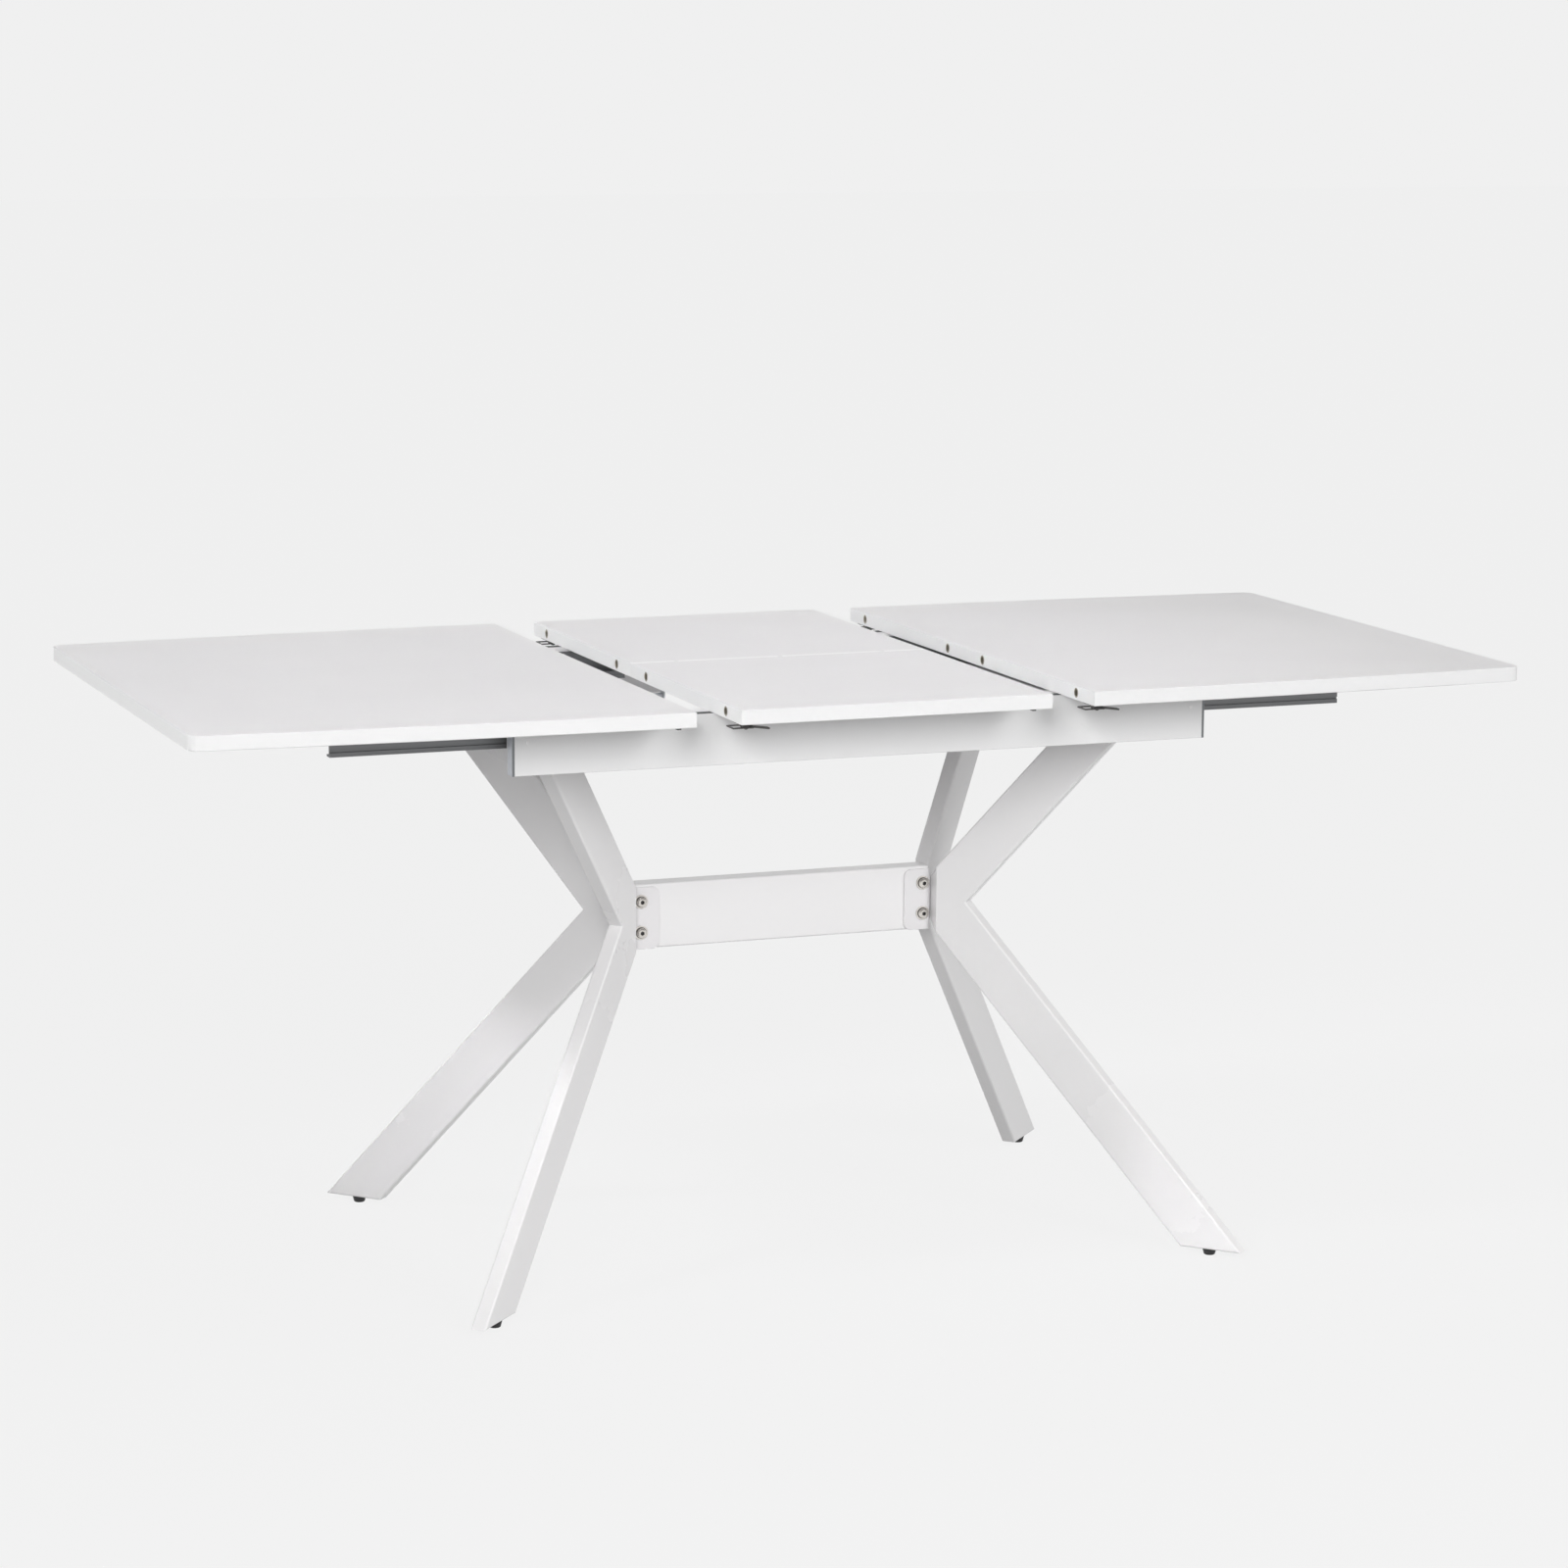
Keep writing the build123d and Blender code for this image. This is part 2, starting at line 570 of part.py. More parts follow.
def knee_point(offset):
    """Where the two arms' lines meet, moved in from the outer side of the leg."""
    up = radians(upper_tilt())
    low = radians(lower_tilt())
    scale = offset / (1 - cos(up + low))
    return LEG_NOTCH_OUT - scale * (sin(up) + sin(low)), KNEE_HEIGHT + scale * (cos(up) - cos(low))


def arm_end(offset, z, tilt, upwards):
    """Where an arm's line, moved in from the outer side, meets a level."""
    angle = radians(tilt)
    s = LEG_NOTCH_OUT - offset * sin(angle)
    drop = KNEE_HEIGHT + offset * cos(angle) if upwards else KNEE_HEIGHT - offset * cos(angle)
    return s + abs(z - drop) / tan(angle), z


def leg_outline(inset, top, bottom):
    """The boomerang outline of a leg, in from its faces by an inset."""
    outer = inset
    inner = LEG_WIDTH - inset
    return make_face(
        Polyline(
            knee_point(outer),
            arm_end(outer, top, upper_tilt(), True),
            arm_end(inner, top, upper_tilt(), True),
            knee_point(inner),
            arm_end(inner, bottom, lower_tilt(), False),
            arm_end(outer, bottom, lower_tilt(), False),
            close=True,
        )
    )


def leg_plane():
    """The upright plane that the right-hand back leg lies in."""
    turn = radians(LEG_TURN)
    return Plane(
        origin=(LEG_APEX_X, 0, 0), x_dir=(cos(turn), sin(turn), 0), z_dir=(sin(turn), -cos(turn), 0)
    )


def leg():
    """The right-hand back leg: a bent flat tube, closed at the floor and mitred at the knee."""
    plane = leg_plane()
    body = extrude(plane * leg_outline(0, LEG_TOP, FOOT_HEIGHT), amount=LEG_THICKNESS / 2, both=True)
    sides = body.faces().filter_by(Axis((0, 0, 0), plane.z_dir))
    body = fillet([edge for face in sides for edge in face.edges()], LEG_EDGE_RADIUS)
    hollow = leg_outline(LEG_WALL, LEG_TOP + CUT_MARGIN, FOOT_HEIGHT + LEG_END_WALL)
    body -= extrude(plane * hollow, amount=LEG_THICKNESS / 2 - LEG_WALL, both=True)
    far = FOOT_X + LEG_WIDTH
    body &= block(BRACKET_BACK_X, BRACKET_BACK_X + far, 0, far, 0, TOP_HEIGHT)
    stem_hole = FOOT_STEM_DIAMETER + 2 * RUNNING_FIT
    return body - rod_z(FOOT_X, FOOT_Y, 0, FOOT_HEIGHT + LEG_END_WALL + CUT_MARGIN, stem_hole)


def leg_top_place():
    """The middle of a leg's top end, turned into line with the leg."""
    return Pos(CROSS_BOARD_X, LEG_TOP_OUT * sin(radians(LEG_TURN)), LEG_TOP) * Rot(0, 0, LEG_TURN)


def leg_bolt_places():
    """The places of a leg plate's bolts on the plate."""
    return [(a * LEG_BOLT_ALONG, b * LEG_BOLT_ACROSS) for a in (-1, 1) for b in (-1, 1)]


def leg_plate():
    """The plate on top of the right-hand back leg."""
    shape = RectangleRounded(LEG_PLATE_LENGTH, LEG_PLATE_WIDTH, LEG_PLATE_RADIUS)
    for x, y in leg_bolt_places():
        shape -= Pos(x, y) * Circle(LEG_BOLT_DIAMETER / 2 + SEAT_CLEARANCE)
    return leg_top_place() * extrude(shape, amount=LEG_PLATE_THICKNESS)


def leg_bolts():
    """The hexagon bolts of the right-hand back leg's plate."""
    length = LEG_PLATE_THICKNESS + LEG_BOLT_BITE
    bolts = []
    for x, y in leg_bolt_places():
        head = extrude(
            RegularPolygon(LEG_BOLT_HEAD_WIDTH / 2, 6, major_radius=False), amount=-LEG_BOLT_HEAD_HEIGHT
        )
        shank = Pos(0, 0, length / 2) * Cylinder(LEG_BOLT_DIAMETER / 2, length)
        bolts.append(leg_top_place() * Pos(x, y) * (head + shank))
    return bolts


def leg_bolt_holes():
    """The holes for those bolts in the cross board."""
    size = LEG_BOLT_DIAMETER / 2 + SEAT_CLEARANCE
    depth = LEG_PLATE_THICKNESS + LEG_BOLT_BITE
    hole = Pos(0, 0, depth / 2) * Cylinder(size, depth)
    return [leg_top_place() * Pos(x, y) * hole for x, y in leg_bolt_places()]


def cross_board():
    """The board between the battens at the right end, which both right-hand legs bolt to."""
    half = CROSS_BOARD_WIDTH / 2
    board = block(
        CROSS_BOARD_X - half,
        CROSS_BOARD_X + half,
        -BATTEN_INNER_Y,
        BATTEN_INNER_Y,
        CROSS_BOARD_BOTTOM,
        CROSS_BOARD_BOTTOM + CROSS_BOARD_THICKNESS,
    )
    holes = leg_bolt_holes()
    return board - holes - [front(hole) for hole in holes]


def foot():
    """A tapered glide with a stem, at the right-hand back leg."""
    height = FOOT_HEIGHT - FOOT_TURN_CLEARANCE
    glide = Cone(FOOT_BOTTOM_RADIUS, FOOT_TOP_RADIUS, height)
    glide = chamfer(glide.edges().filter_by(GeomType.CIRCLE).sort_by(Axis.Z)[0], FOOT_EDGE_CHAMFER)
    stem = rod_z(FOOT_X, FOOT_Y, height, height + FOOT_STEM_LENGTH, FOOT_STEM_DIAMETER)
    return Pos(FOOT_X, FOOT_Y, height / 2) * glide + stem


def bolt_places():
    """The places of the stretcher's bolts at the right end."""
    return [(BOLT_X, KNEE_HEIGHT + side * BOLT_SPACING / 2) for side in (-1, 1)]


def bolt_holes():
    """The bolt holes through the right-hand bracket and the stretcher."""
    reach = STRETCHER_DEPTH
    return [rod_y(x, -reach, reach, z, BOLT_HOLE_DIAMETER) for x, z in bolt_places()]


def knee_bracket():
    """The right-hand bracket: a plate bent round the end of the stretcher."""
    half_z = BRACKET_HEIGHT / 2
    outer_y = STRETCHER_DEPTH / 2 + BRACKET_PLATE
    low = BRACKET_MIDDLE - half_z
    high = BRACKET_MIDDLE + half_z
    body = block(BRACKET_FREE_X, BRACKET_BACK_X, -outer_y, outer_y, low, high)
    bends = body.edges().filter_by(Axis.Z).sort_by(Axis.X)[-2:]
    body = fillet(bends, BRACKET_BEND_RADIUS)
    free = body.edges().filter_by(Axis.Y).sort_by(Axis.X)[:2]
    body = fillet(free, BRACKET_CORNER_RADIUS)
    bend_x = BRACKET_BACK_X - 2 * BRACKET_BEND_RADIUS
    rims = [edge for face in body.faces().filter_by(Axis.Y) for edge in face.edges()]
    body = fillet([edge for edge in rims if edge.center().X < bend_x], BRACKET_EDGE_RADIUS)
    inner_y = STRETCHER_DEPTH / 2
    body -= block(
        BRACKET_FREE_X - CUT_MARGIN,
        BRACKET_BACK_X - BRACKET_PLATE,
        -inner_y,
        inner_y,
        low - CUT_MARGIN,
        high + CUT_MARGIN,
    )
    return body - bolt_holes()


def stretcher():
    """The flat tube that ties the two knees together."""
    outer = RectangleRounded(STRETCHER_DEPTH, STRETCHER_HEIGHT, STRETCHER_EDGE_RADIUS)
    inner = RectangleRounded(
        STRETCHER_DEPTH - 2 * STRETCHER_WALL,
        STRETCHER_HEIGHT - 2 * STRETCHER_WALL,
        STRETCHER_EDGE_RADIUS - STRETCHER_WALL,
    )
    half = BRACKET_BACK_X - BRACKET_PLATE - STRETCHER_END_GAP
    tube = along_x(Pos(0, KNEE_HEIGHT) * (outer - inner), -half, half)
    holes = bolt_holes()
    return tube - holes - [left(hole) for hole in holes]


def bolt_stack():
    """How far the bracket's outer faces and the washers stand from the middle plane."""
    face = STRETCHER_DEPTH / 2 + BRACKET_PLATE
    return face, face + WASHER_THICKNESS


def stretcher_bolt(x, z):
    """A button-head bolt through the bracket and the stretcher, with its head at the front."""
    seat = bolt_stack()[1]
    head = rod_y(x, -seat - BOLT_HEAD_HEIGHT, -seat, z, BOLT_HEAD_DIAMETER)
    head = fillet(head.edges().sort_by(Axis.Y)[0], BOLT_HEAD_RADIUS)
    key = Plane(origin=(x, -seat - BOLT_HEAD_HEIGHT, z), z_dir=(0, 1, 0))
    head -= extrude(
        key * RegularPolygon(BOLT_SOCKET_WIDTH / 2, 6, major_radius=False), amount=BOLT_SOCKET_DEPTH
    )
    return head + rod_y(x, -seat, seat + NUT_HEIGHT + BOLT_END_PROUD, z, BOLT_DIAMETER)


def stretcher_washers(x, z):
    """The washers under a bolt's head and its nut."""
    face, seat = bolt_stack()
    ring = rod_y(x, face, seat, z, WASHER_DIAMETER) - rod_y(x, face, seat, z, BOLT_HOLE_DIAMETER)
    return [ring, front(ring)]


def stretcher_nut(x, z):
    """The hexagon nut at the back."""
    seat = bolt_stack()[1]
    place = Plane(origin=(x, seat, z), z_dir=(0, 1, 0))
    nut = extrude(place * RegularPolygon(NUT_WIDTH / 2, 6, major_radius=False), amount=NUT_HEIGHT)
    return nut - rod_y(x, seat, seat + NUT_HEIGHT, z, BOLT_DIAMETER + 2 * SEAT_CLEARANCE)


def build_leaves():
    """Both leaves with their slide bars, pins, sockets and latch hardware."""
    bars, screws, screw_holes = leaf_slides()
    blank = leaf_blank() - screw_holes
    move = Pos(RIGHT_EDGE, 0, 0)
    sockets = [bush_body(RIGHT_EDGE, y, SEAT_CLEARANCE) for y in DOWEL_YS]
    save(move * blank - sockets, "right_leaf")
    save(group([move * bar for bar in bars]), "right_slide_bars")
    save(group([move * screw for screw in screws]), "right_bar_screws")
    save(group([socket_bush(RIGHT_EDGE, y) for y in DOWEL_YS]), "right_leaf_sockets")
    move = Pos(LEFT_EDGE, 0, 0)
    holes = [pin_hole(LEFT_EDGE, y) for y in DOWEL_YS]
    save(move * left(blank) - holes, "left_leaf")
    save(group([move * left(bar) for bar in bars]), "left_slide_bars")
    save(group([move * left(screw) for screw in screws]), "left_bar_screws")
    save(group([dowel_pin(LEFT_EDGE, y) for y in DOWEL_YS]), "left_leaf_pins")


def build_insert():
    """Both halves of the insert with their pins, sockets, hinges and pivots."""
    back_ys = [y for y in DOWEL_YS if y > 0]
    sockets = [bush_body(-HALF_INSERT, y, SEAT_CLEARANCE) for y in back_ys]
    holes = [pin_hole(HALF_INSERT, y) for y in back_ys]
    places = hinge_places()
    back_seats = [front(barrel_seat(x)) for x in places]
    back = insert_blank() - sockets - holes - back_seats
    save(back, "insert_back_panel")
    save(front(back), "insert_front_panel")
    pins = group([dowel_pin(HALF_INSERT, y) for y in back_ys])
    save(pins, "insert_back_pins")
    save(front(pins), "insert_front_pins")
    bushes = group([socket_bush(-HALF_INSERT, y) for y in back_ys])
    save(bushes, "insert_back_sockets")
    save(front(bushes), "insert_front_sockets")
    barrels = group([hinge_barrel(x) for x in places])
    save(barrels, "insert_front_hinge_barrels")
    save(front(barrels), "insert_back_hinge_barrels")
    step = LINK_THICKNESS + LINK_SIDE_GAP / 2
    save(group([hinge_link(x - step) for x in places]), "insert_front_hinge_links")
    save(group([front(hinge_link(x + LINK_SIDE_GAP / 2)) for x in places]), "insert_back_hinge_links")
    bracket = pivot_bracket()
    save(group([bracket, left(bracket)]), "insert_pivot_brackets")


def build_latches():
    """The toggle latches under the left-hand edges and the keepers under the right-hand edges."""
    for name, edge in (("insert", -HALF_INSERT), ("right", RIGHT_EDGE)):
        for side, y in (("front", -LATCH_Y), ("back", LATCH_Y)):
            place = Pos(edge, y, UNDERSIDE)
            save(place * latch_base(), f"{name}_{side}_latch_base")
            save(place * latch_lever(), f"{name}_{side}_latch_lever")
            save(place * latch_bail(), f"{name}_{side}_latch_bail")
    hook = keeper()
    save(group([Pos(LEFT_EDGE, y, UNDERSIDE) * hook for y in (-LATCH_Y, LATCH_Y)]), "left_leaf_keepers")
    for side, y in (("front", -LATCH_Y), ("back", LATCH_Y)):
        save(Pos(HALF_INSERT, y, UNDERSIDE) * hook, f"insert_{side}_keeper")


def end_plate():
    """The steel plate over the right-hand end of the back apron."""
    inner = BOARD_HALF_LENGTH
    outer = FRAME_LENGTH / 2
    plate = block(inner, outer, APRON_INNER_Y, APRON_OUTER_Y, APRON_BOTTOM, APRON_TOP)
    rim = plate.faces().sort_by(Axis.X)[-1].edges()
    return fillet(rim, END_PLATE_EDGE_RADIUS)


def build_frame():
    """Aprons, battens, end plates, slide channels and the boards across."""
    half = BOARD_HALF_LENGTH
    apron = block(-half, half, APRON_INNER_Y, APRON_OUTER_Y, APRON_BOTTOM, APRON_TOP)
    apron = fillet(apron.edges().filter_by(Axis.X).sort_by(Axis.Y)[-2:], APRON_EDGE_RADIUS)
    save(apron, "back_apron")
    save(front(apron), "front_apron")
    ends = (-BATTEN_HALF_LENGTH, BATTEN_HALF_LENGTH)
    batten = block(*ends, BATTEN_INNER_Y, APRON_INNER_Y, APRON_BOTTOM, APRON_TOP)
    save(batten, "back_batten")
    save(front(batten), "front_batten")
    plate = end_plate()
    save(group([plate, front(plate), left(plate), left(front(plate))]), "apron_end_plates")
    channel = along_x(channel_profile(), CHANNEL_END - CHANNEL_LENGTH, CHANNEL_END)
    channels = group([channel, left(channel)])
    save(channels, "back_slide_channels")
    save(front(channels), "front_slide_channels")
    board = cross_board()
    save(board, "right_cross_board")
    save(left(board), "left_cross_board")
    rail = well_rail()
    save(group([rail, left(rail)]), "well_rails")


def build_base():
    """Legs, plates, feet, knee brackets, stretcher and their fasteners."""
    back_leg = leg()
    glide = foot()
    for name, place in (("right_back", lambda part: part), ("right_front", front)):
        save(place(back_leg), f"{name}_leg")
        save(place(glide), f"{name}_foot")
    for name, place in (("left_back", left), ("left_front", lambda part: left(front(part)))):
        save(place(back_leg), f"{name}_leg")
        save(place(glide), f"{name}_foot")
    plate = leg_plate()
    save(group([plate, front(plate), left(plate), left(front(plate))]), "leg_plates")
    bolts = group(leg_bolts())
    save(group([bolts, front(bolts), left(bolts), left(front(bolts))]), "leg_plate_bolts")
    bracket = knee_bracket()
    save(bracket, "right_knee_bracket")
    save(left(bracket), "left_knee_bracket")
    save(stretcher(), "stretcher")
    places = [(side * x, z) for x, z in bolt_places() for side in (-1, 1)]
    save(group([stretcher_bolt(x, z) for x, z in places]), "stretcher_bolts")
    save(group([ring for x, z in places for ring in stretcher_washers(x, z)]), "stretcher_washers")
    save(group([stretcher_nut(x, z) for x, z in places]), "stretcher_nuts")


os.makedirs("parts", exist_ok=True)
build_leaves()
build_insert()
build_latches()
build_frame()
build_base()
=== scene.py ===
"""Looks of an extendable dining table, pulled apart with its folding insert laid in place."""

import json
import logging
import math
from dataclasses import dataclass, field
from enum import Enum
from typing import Callable, Iterable, Sequence

import bmesh
import bpy
from bmesh.types import BMEdge, BMesh, BMFace, BMVert
from mathutils import Matrix, Vector

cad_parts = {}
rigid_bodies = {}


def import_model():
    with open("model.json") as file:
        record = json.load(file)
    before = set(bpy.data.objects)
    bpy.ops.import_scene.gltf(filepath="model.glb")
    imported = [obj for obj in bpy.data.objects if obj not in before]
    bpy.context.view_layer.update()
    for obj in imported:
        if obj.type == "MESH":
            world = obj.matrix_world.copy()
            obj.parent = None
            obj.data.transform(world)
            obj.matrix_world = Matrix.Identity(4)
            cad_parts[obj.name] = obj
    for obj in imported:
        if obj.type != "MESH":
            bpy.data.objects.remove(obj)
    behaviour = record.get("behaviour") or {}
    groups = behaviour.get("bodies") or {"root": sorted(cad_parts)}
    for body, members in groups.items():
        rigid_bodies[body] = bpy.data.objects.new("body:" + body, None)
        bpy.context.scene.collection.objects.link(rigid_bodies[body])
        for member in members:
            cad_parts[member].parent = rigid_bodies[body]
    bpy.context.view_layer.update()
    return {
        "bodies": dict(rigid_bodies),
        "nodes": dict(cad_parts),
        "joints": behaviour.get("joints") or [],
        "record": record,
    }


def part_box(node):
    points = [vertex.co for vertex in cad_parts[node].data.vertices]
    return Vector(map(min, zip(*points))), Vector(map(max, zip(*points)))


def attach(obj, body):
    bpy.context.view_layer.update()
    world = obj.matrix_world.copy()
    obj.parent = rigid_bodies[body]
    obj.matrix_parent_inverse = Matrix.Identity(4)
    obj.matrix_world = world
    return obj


LOG = logging.getLogger("table")

Point = tuple[float, float, float]
Colour = tuple[float, float, float]
Socket = bpy.types.NodeSocket

MM = 0.001
SHARP_ANGLE = 35.0
CUT_SLACK = 1e-7
LEVEL_SLACK = 1e-6
NOISE_ROUGHNESS = 0.55
NOISE_LOW, NOISE_HIGH = 0.3, 0.7
WHITE = (1.0, 1.0, 1.0, 1.0)
DOWN: Point = (0.0, 0.0, -1.0)
AHEAD: Point = (0.0, -1.0, 0.0)
SIDES = (-1.0, 1.0)
QUARTERS = tuple((sx, sy) for sx in SIDES for sy in SIDES)


class Slot(Enum):
    """Material slots of the record."""

    LACQUER = "white_lacquer"
    BOARD = "white_board"
    POWDER = "white_powder_coat"
    BAR = "slide_steel"
    ZINC = "zinc_steel"
    BRASS = "brass"
    NICKEL = "nickel"
    LATCH = "latch_steel"
    PLASTIC = "black_plastic"


class Body(Enum):
    """Moving bodies that new pieces ride on."""

    FRAME = "frame"
    LEFT_LEAF = "left_leaf"
    RIGHT_LEAF = "right_leaf"
    INSERT_BACK = "insert_back"


class Tree:
    """A node tree under construction."""

    MIX_BELOW, MIX_ABOVE, MIX_RESULT = 6, 7, 2

    def __init__(self, owner: bpy.types.Material | bpy.types.World) -> None:
        """Empty the tree of a material or a world.

        Args:
            owner: the material or world whose nodes are built.
        """
        owner.use_nodes = True
        self.nodes = owner.node_tree.nodes
        self.links = owner.node_tree.links
        self.nodes.clear()

    def add(self, kind: str, sockets: dict | None = None, **settings: object) -> bpy.types.Node:
        """Add a node.

        Args:
            kind: the node's type, without its ShaderNode prefix.
            sockets: input name or index to a constant or to an output to link.
            settings: attributes of the node itself.

        Returns:
            The new node.
        """
        node = self.nodes.new("ShaderNode" + kind)
        for key, value in settings.items():
            setattr(node, key, value)
        for key, value in (sockets or {}).items():
            if isinstance(value, bpy.types.NodeSocket):
                self.links.new(value, node.inputs[key])
            else:
                node.inputs[key].default_value = value
        return node

    def coords(self, output: str = "Object") -> Socket:
        """The piece's own coordinates."""
        return self.add("TexCoord").outputs[output]

    def size_along(self, output: str, axis: str) -> Socket:
        """How far a coordinate or a normal reaches along one axis, without its sign."""
        part = self.add("SeparateXYZ", {"Vector": self.coords(output)}).outputs[axis]
        return self.add("Math", {0: part}, operation="ABSOLUTE").outputs[0]

    def stretched(self, scale: Point) -> Socket:
        """The piece's own coordinates, scaled along each axis."""
        return self.add("Mapping", {"Vector": self.coords(), "Scale": scale}).outputs["Vector"]

    def noise(self, scale: float, detail: float, vector: Socket | None = None) -> Socket:
        """A noise value.

        Args:
            scale: how fine the noise is.
            detail: how many finer layers it has.
            vector: where it is read, the piece's own coordinates if not given.

        Returns:
            The value's socket.
        """
        where = vector or self.coords()
        sockets = {"Vector": where, "Scale": scale, "Detail": detail, "Roughness": NOISE_ROUGHNESS}
        return self.add("TexNoise", sockets).outputs["Fac"]

    def ramp(self, value: Socket, low: float, high: float, out_low: float, out_high: float) -> Socket:
        """A value moved from one range to another, clamped.

        Args:
            value: the value's socket.
            low: where its own range starts.
            high: where its own range ends.
            out_low: where the new range starts.
            out_high: where the new range ends.

        Returns:
            The moved value's socket.
        """
        sockets = {
            "Value": value,
            "From Min": low,
            "From Max": high,
            "To Min": out_low,
            "To Max": out_high,
        }
        return self.add("MapRange", sockets).outputs["Result"]

    def blend(self, value: Socket, first: Colour, second: Colour) -> Socket:
        """A colour between two.

        Args:
            value: a value from 0 to 1 that chooses between them.
            first: the colour at 0.
            second: the colour at 1.

        Returns:
            The colour's socket.
        """
        node = self.add("ValToRGB", {"Fac": value})
        node.color_ramp.elements[0].color = (*first, 1.0)
        node.color_ramp.elements[1].color = (*second, 1.0)
        return node.outputs["Color"]

    def mix(self, value: Socket, first: Socket, second: Colour) -> Socket:
        """One colour laid over another.

        Args:
            value: a value from 0 to 1, how much of the second shows.
            first: the socket of the colour below.
            second: the colour above.

        Returns:
            The mixed colour's socket.
        """
        node = self.add("Mix", data_type="RGBA")
        self.links.new(value, node.inputs["Factor"])
        self.links.new(first, node.inputs[self.MIX_BELOW])
        node.inputs[self.MIX_ABOVE].default_value = (*second, 1.0)
        return node.outputs[self.MIX_RESULT]

    def sum(self, first: Socket, second: Socket, share: float) -> Socket:
        """One value plus a share of another."""
        part = self.add("Math", {0: second, 1: share}, operation="MULTIPLY").outputs[0]
        return self.add("Math", {0: first, 1: part}, operation="ADD").outputs[0]

    def largest(self, first: Socket, second: Socket) -> Socket:
        """The larger of two values."""
        return self.add("Math", {0: first, 1: second}, operation="MAXIMUM").outputs[0]


@dataclass(frozen=True)
class Finish:
    """A surface finish with a tone that wanders, a roughness that follows it and a fine relief."""

    name: str
    tone: Colour
    shade: Colour
    rough: tuple[float, float]
    relief: float
    metal: float = 0.0
    depth: float = 0.2 * MM

    def pattern(self, tree: Tree) -> tuple[Socket, Socket]:
        """The value that steers tone and roughness, and the relief's height.

        Args:
            tree: the tree under construction.

        Returns:
            The tone value and the height value.
        """
        raise NotImplementedError

    def dress(self, tree: Tree, colour: Socket) -> Socket:
        """Any second colour laid over the first."""
        return colour

    def build(self) -> bpy.types.Material:
        """Make the material.

        Returns:
            The finished material.
        """
        material = bpy.data.materials.new(self.name)
        tree = Tree(material)
        value, height = self.pattern(tree)
        spread = tree.ramp(value, NOISE_LOW, NOISE_HIGH, 0.0, 1.0)
        colour = self.dress(tree, tree.blend(spread, self.tone, self.shade))
        rough = tree.ramp(value, NOISE_LOW, NOISE_HIGH, *self.rough)
        sockets = {"Height": height, "Strength": self.relief, "Distance": self.depth}
        bump = tree.add("Bump", sockets).outputs["Normal"]
        sockets = {"Base Color": colour, "Roughness": rough, "Metallic": self.metal, "Normal": bump}
        shader = tree.add("BsdfPrincipled", sockets)
        tree.add("OutputMaterial", {"Surface": shader.outputs["BSDF"]})
        return material


@dataclass(frozen=True)
class Lacquer(Finish):
    """Satin lacquer on board, with painted highlights: upright faces a little lighter, end faces much
    lighter, and a pale strip along the seam.
    """

    # Painted highlight: the colour of upright faces, a little lighter than the top.
    side_highlight: Colour = (0.805, 0.805, 0.807)
    # Painted highlight: the colour of faces that look along X, much lighter.
    end_side_highlight: Colour = (0.93, 0.93, 0.932)
    # Painted highlight: the pale strip along the seam between the insert's halves.
    seam_highlight: Colour = (0.93, 0.925, 0.927)
    seam_highlight_half: float = 3.4 * MM
    seam_highlight_fade: float = 1.2
    seam_half: float = 200.5 * MM
    seam_fade: float = 1.002
    cloud_scale: float = 2.2
    fleck_scale: float = 45.0
    fleck_share: float = 0.12
    peel_scale: float = 520.0
    wave_scale: float = 90.0
    wave_share: float = 0.6
    upright: tuple[float, float] = (0.55, 0.75)
    endwise: tuple[float, float] = (0.6, 0.9)

    def pattern(self, tree: Tree) -> tuple[Socket, Socket]:
        """Broad soft clouds, and the fine peel of sprayed lacquer.

        Args:
            tree: the tree under construction.

        Returns:
            The tone value and the height value.
        """
        flecks = tree.noise(self.fleck_scale, detail=4.0)
        clouds = tree.sum(tree.noise(self.cloud_scale, detail=2.0), flecks, self.fleck_share)
        waves = tree.noise(self.wave_scale, detail=2.0)
        return clouds, tree.sum(tree.noise(self.peel_scale, detail=2.0), waves, self.wave_share)

    def dress(self, tree: Tree, colour: Socket) -> Socket:
        """Painted highlights: a little lighter wherever a face stands upright, much lighter where it
        looks along X, and a pale strip along the seam.

        Args:
            tree: the tree under construction.
            colour: the socket of the board's own colour.

        Returns:
            The dressed colour's socket.
        """
        # Painted highlights on the upright faces and, stronger, on the faces that look along X.
        sides = tree.ramp(tree.size_along("Normal", "Z"), *self.upright, 1.0, 0.0)
        highlighted = tree.mix(sides, colour, self.side_highlight)
        ends = tree.ramp(tree.size_along("Normal", "X"), *self.endwise, 0.0, 1.0)
        highlighted = tree.mix(ends, highlighted, self.end_side_highlight)
        # Painted highlight: a pale strip along the seam, across the insert's width.
        half, edge = self.seam_highlight_half, self.seam_highlight_half * self.seam_highlight_fade
        near = tree.ramp(tree.size_along("Object", "Y"), half, edge, 1.0, 0.0)
        half, edge = self.seam_half, self.seam_half * self.seam_fade
        inside = tree.ramp(tree.size_along("Object", "X"), half, edge, 1.0, 0.0)
        strip = tree.add("Math", {0: near, 1: inside}, operation="MULTIPLY").outputs[0]
        return tree.mix(strip, highlighted, self.seam_highlight)


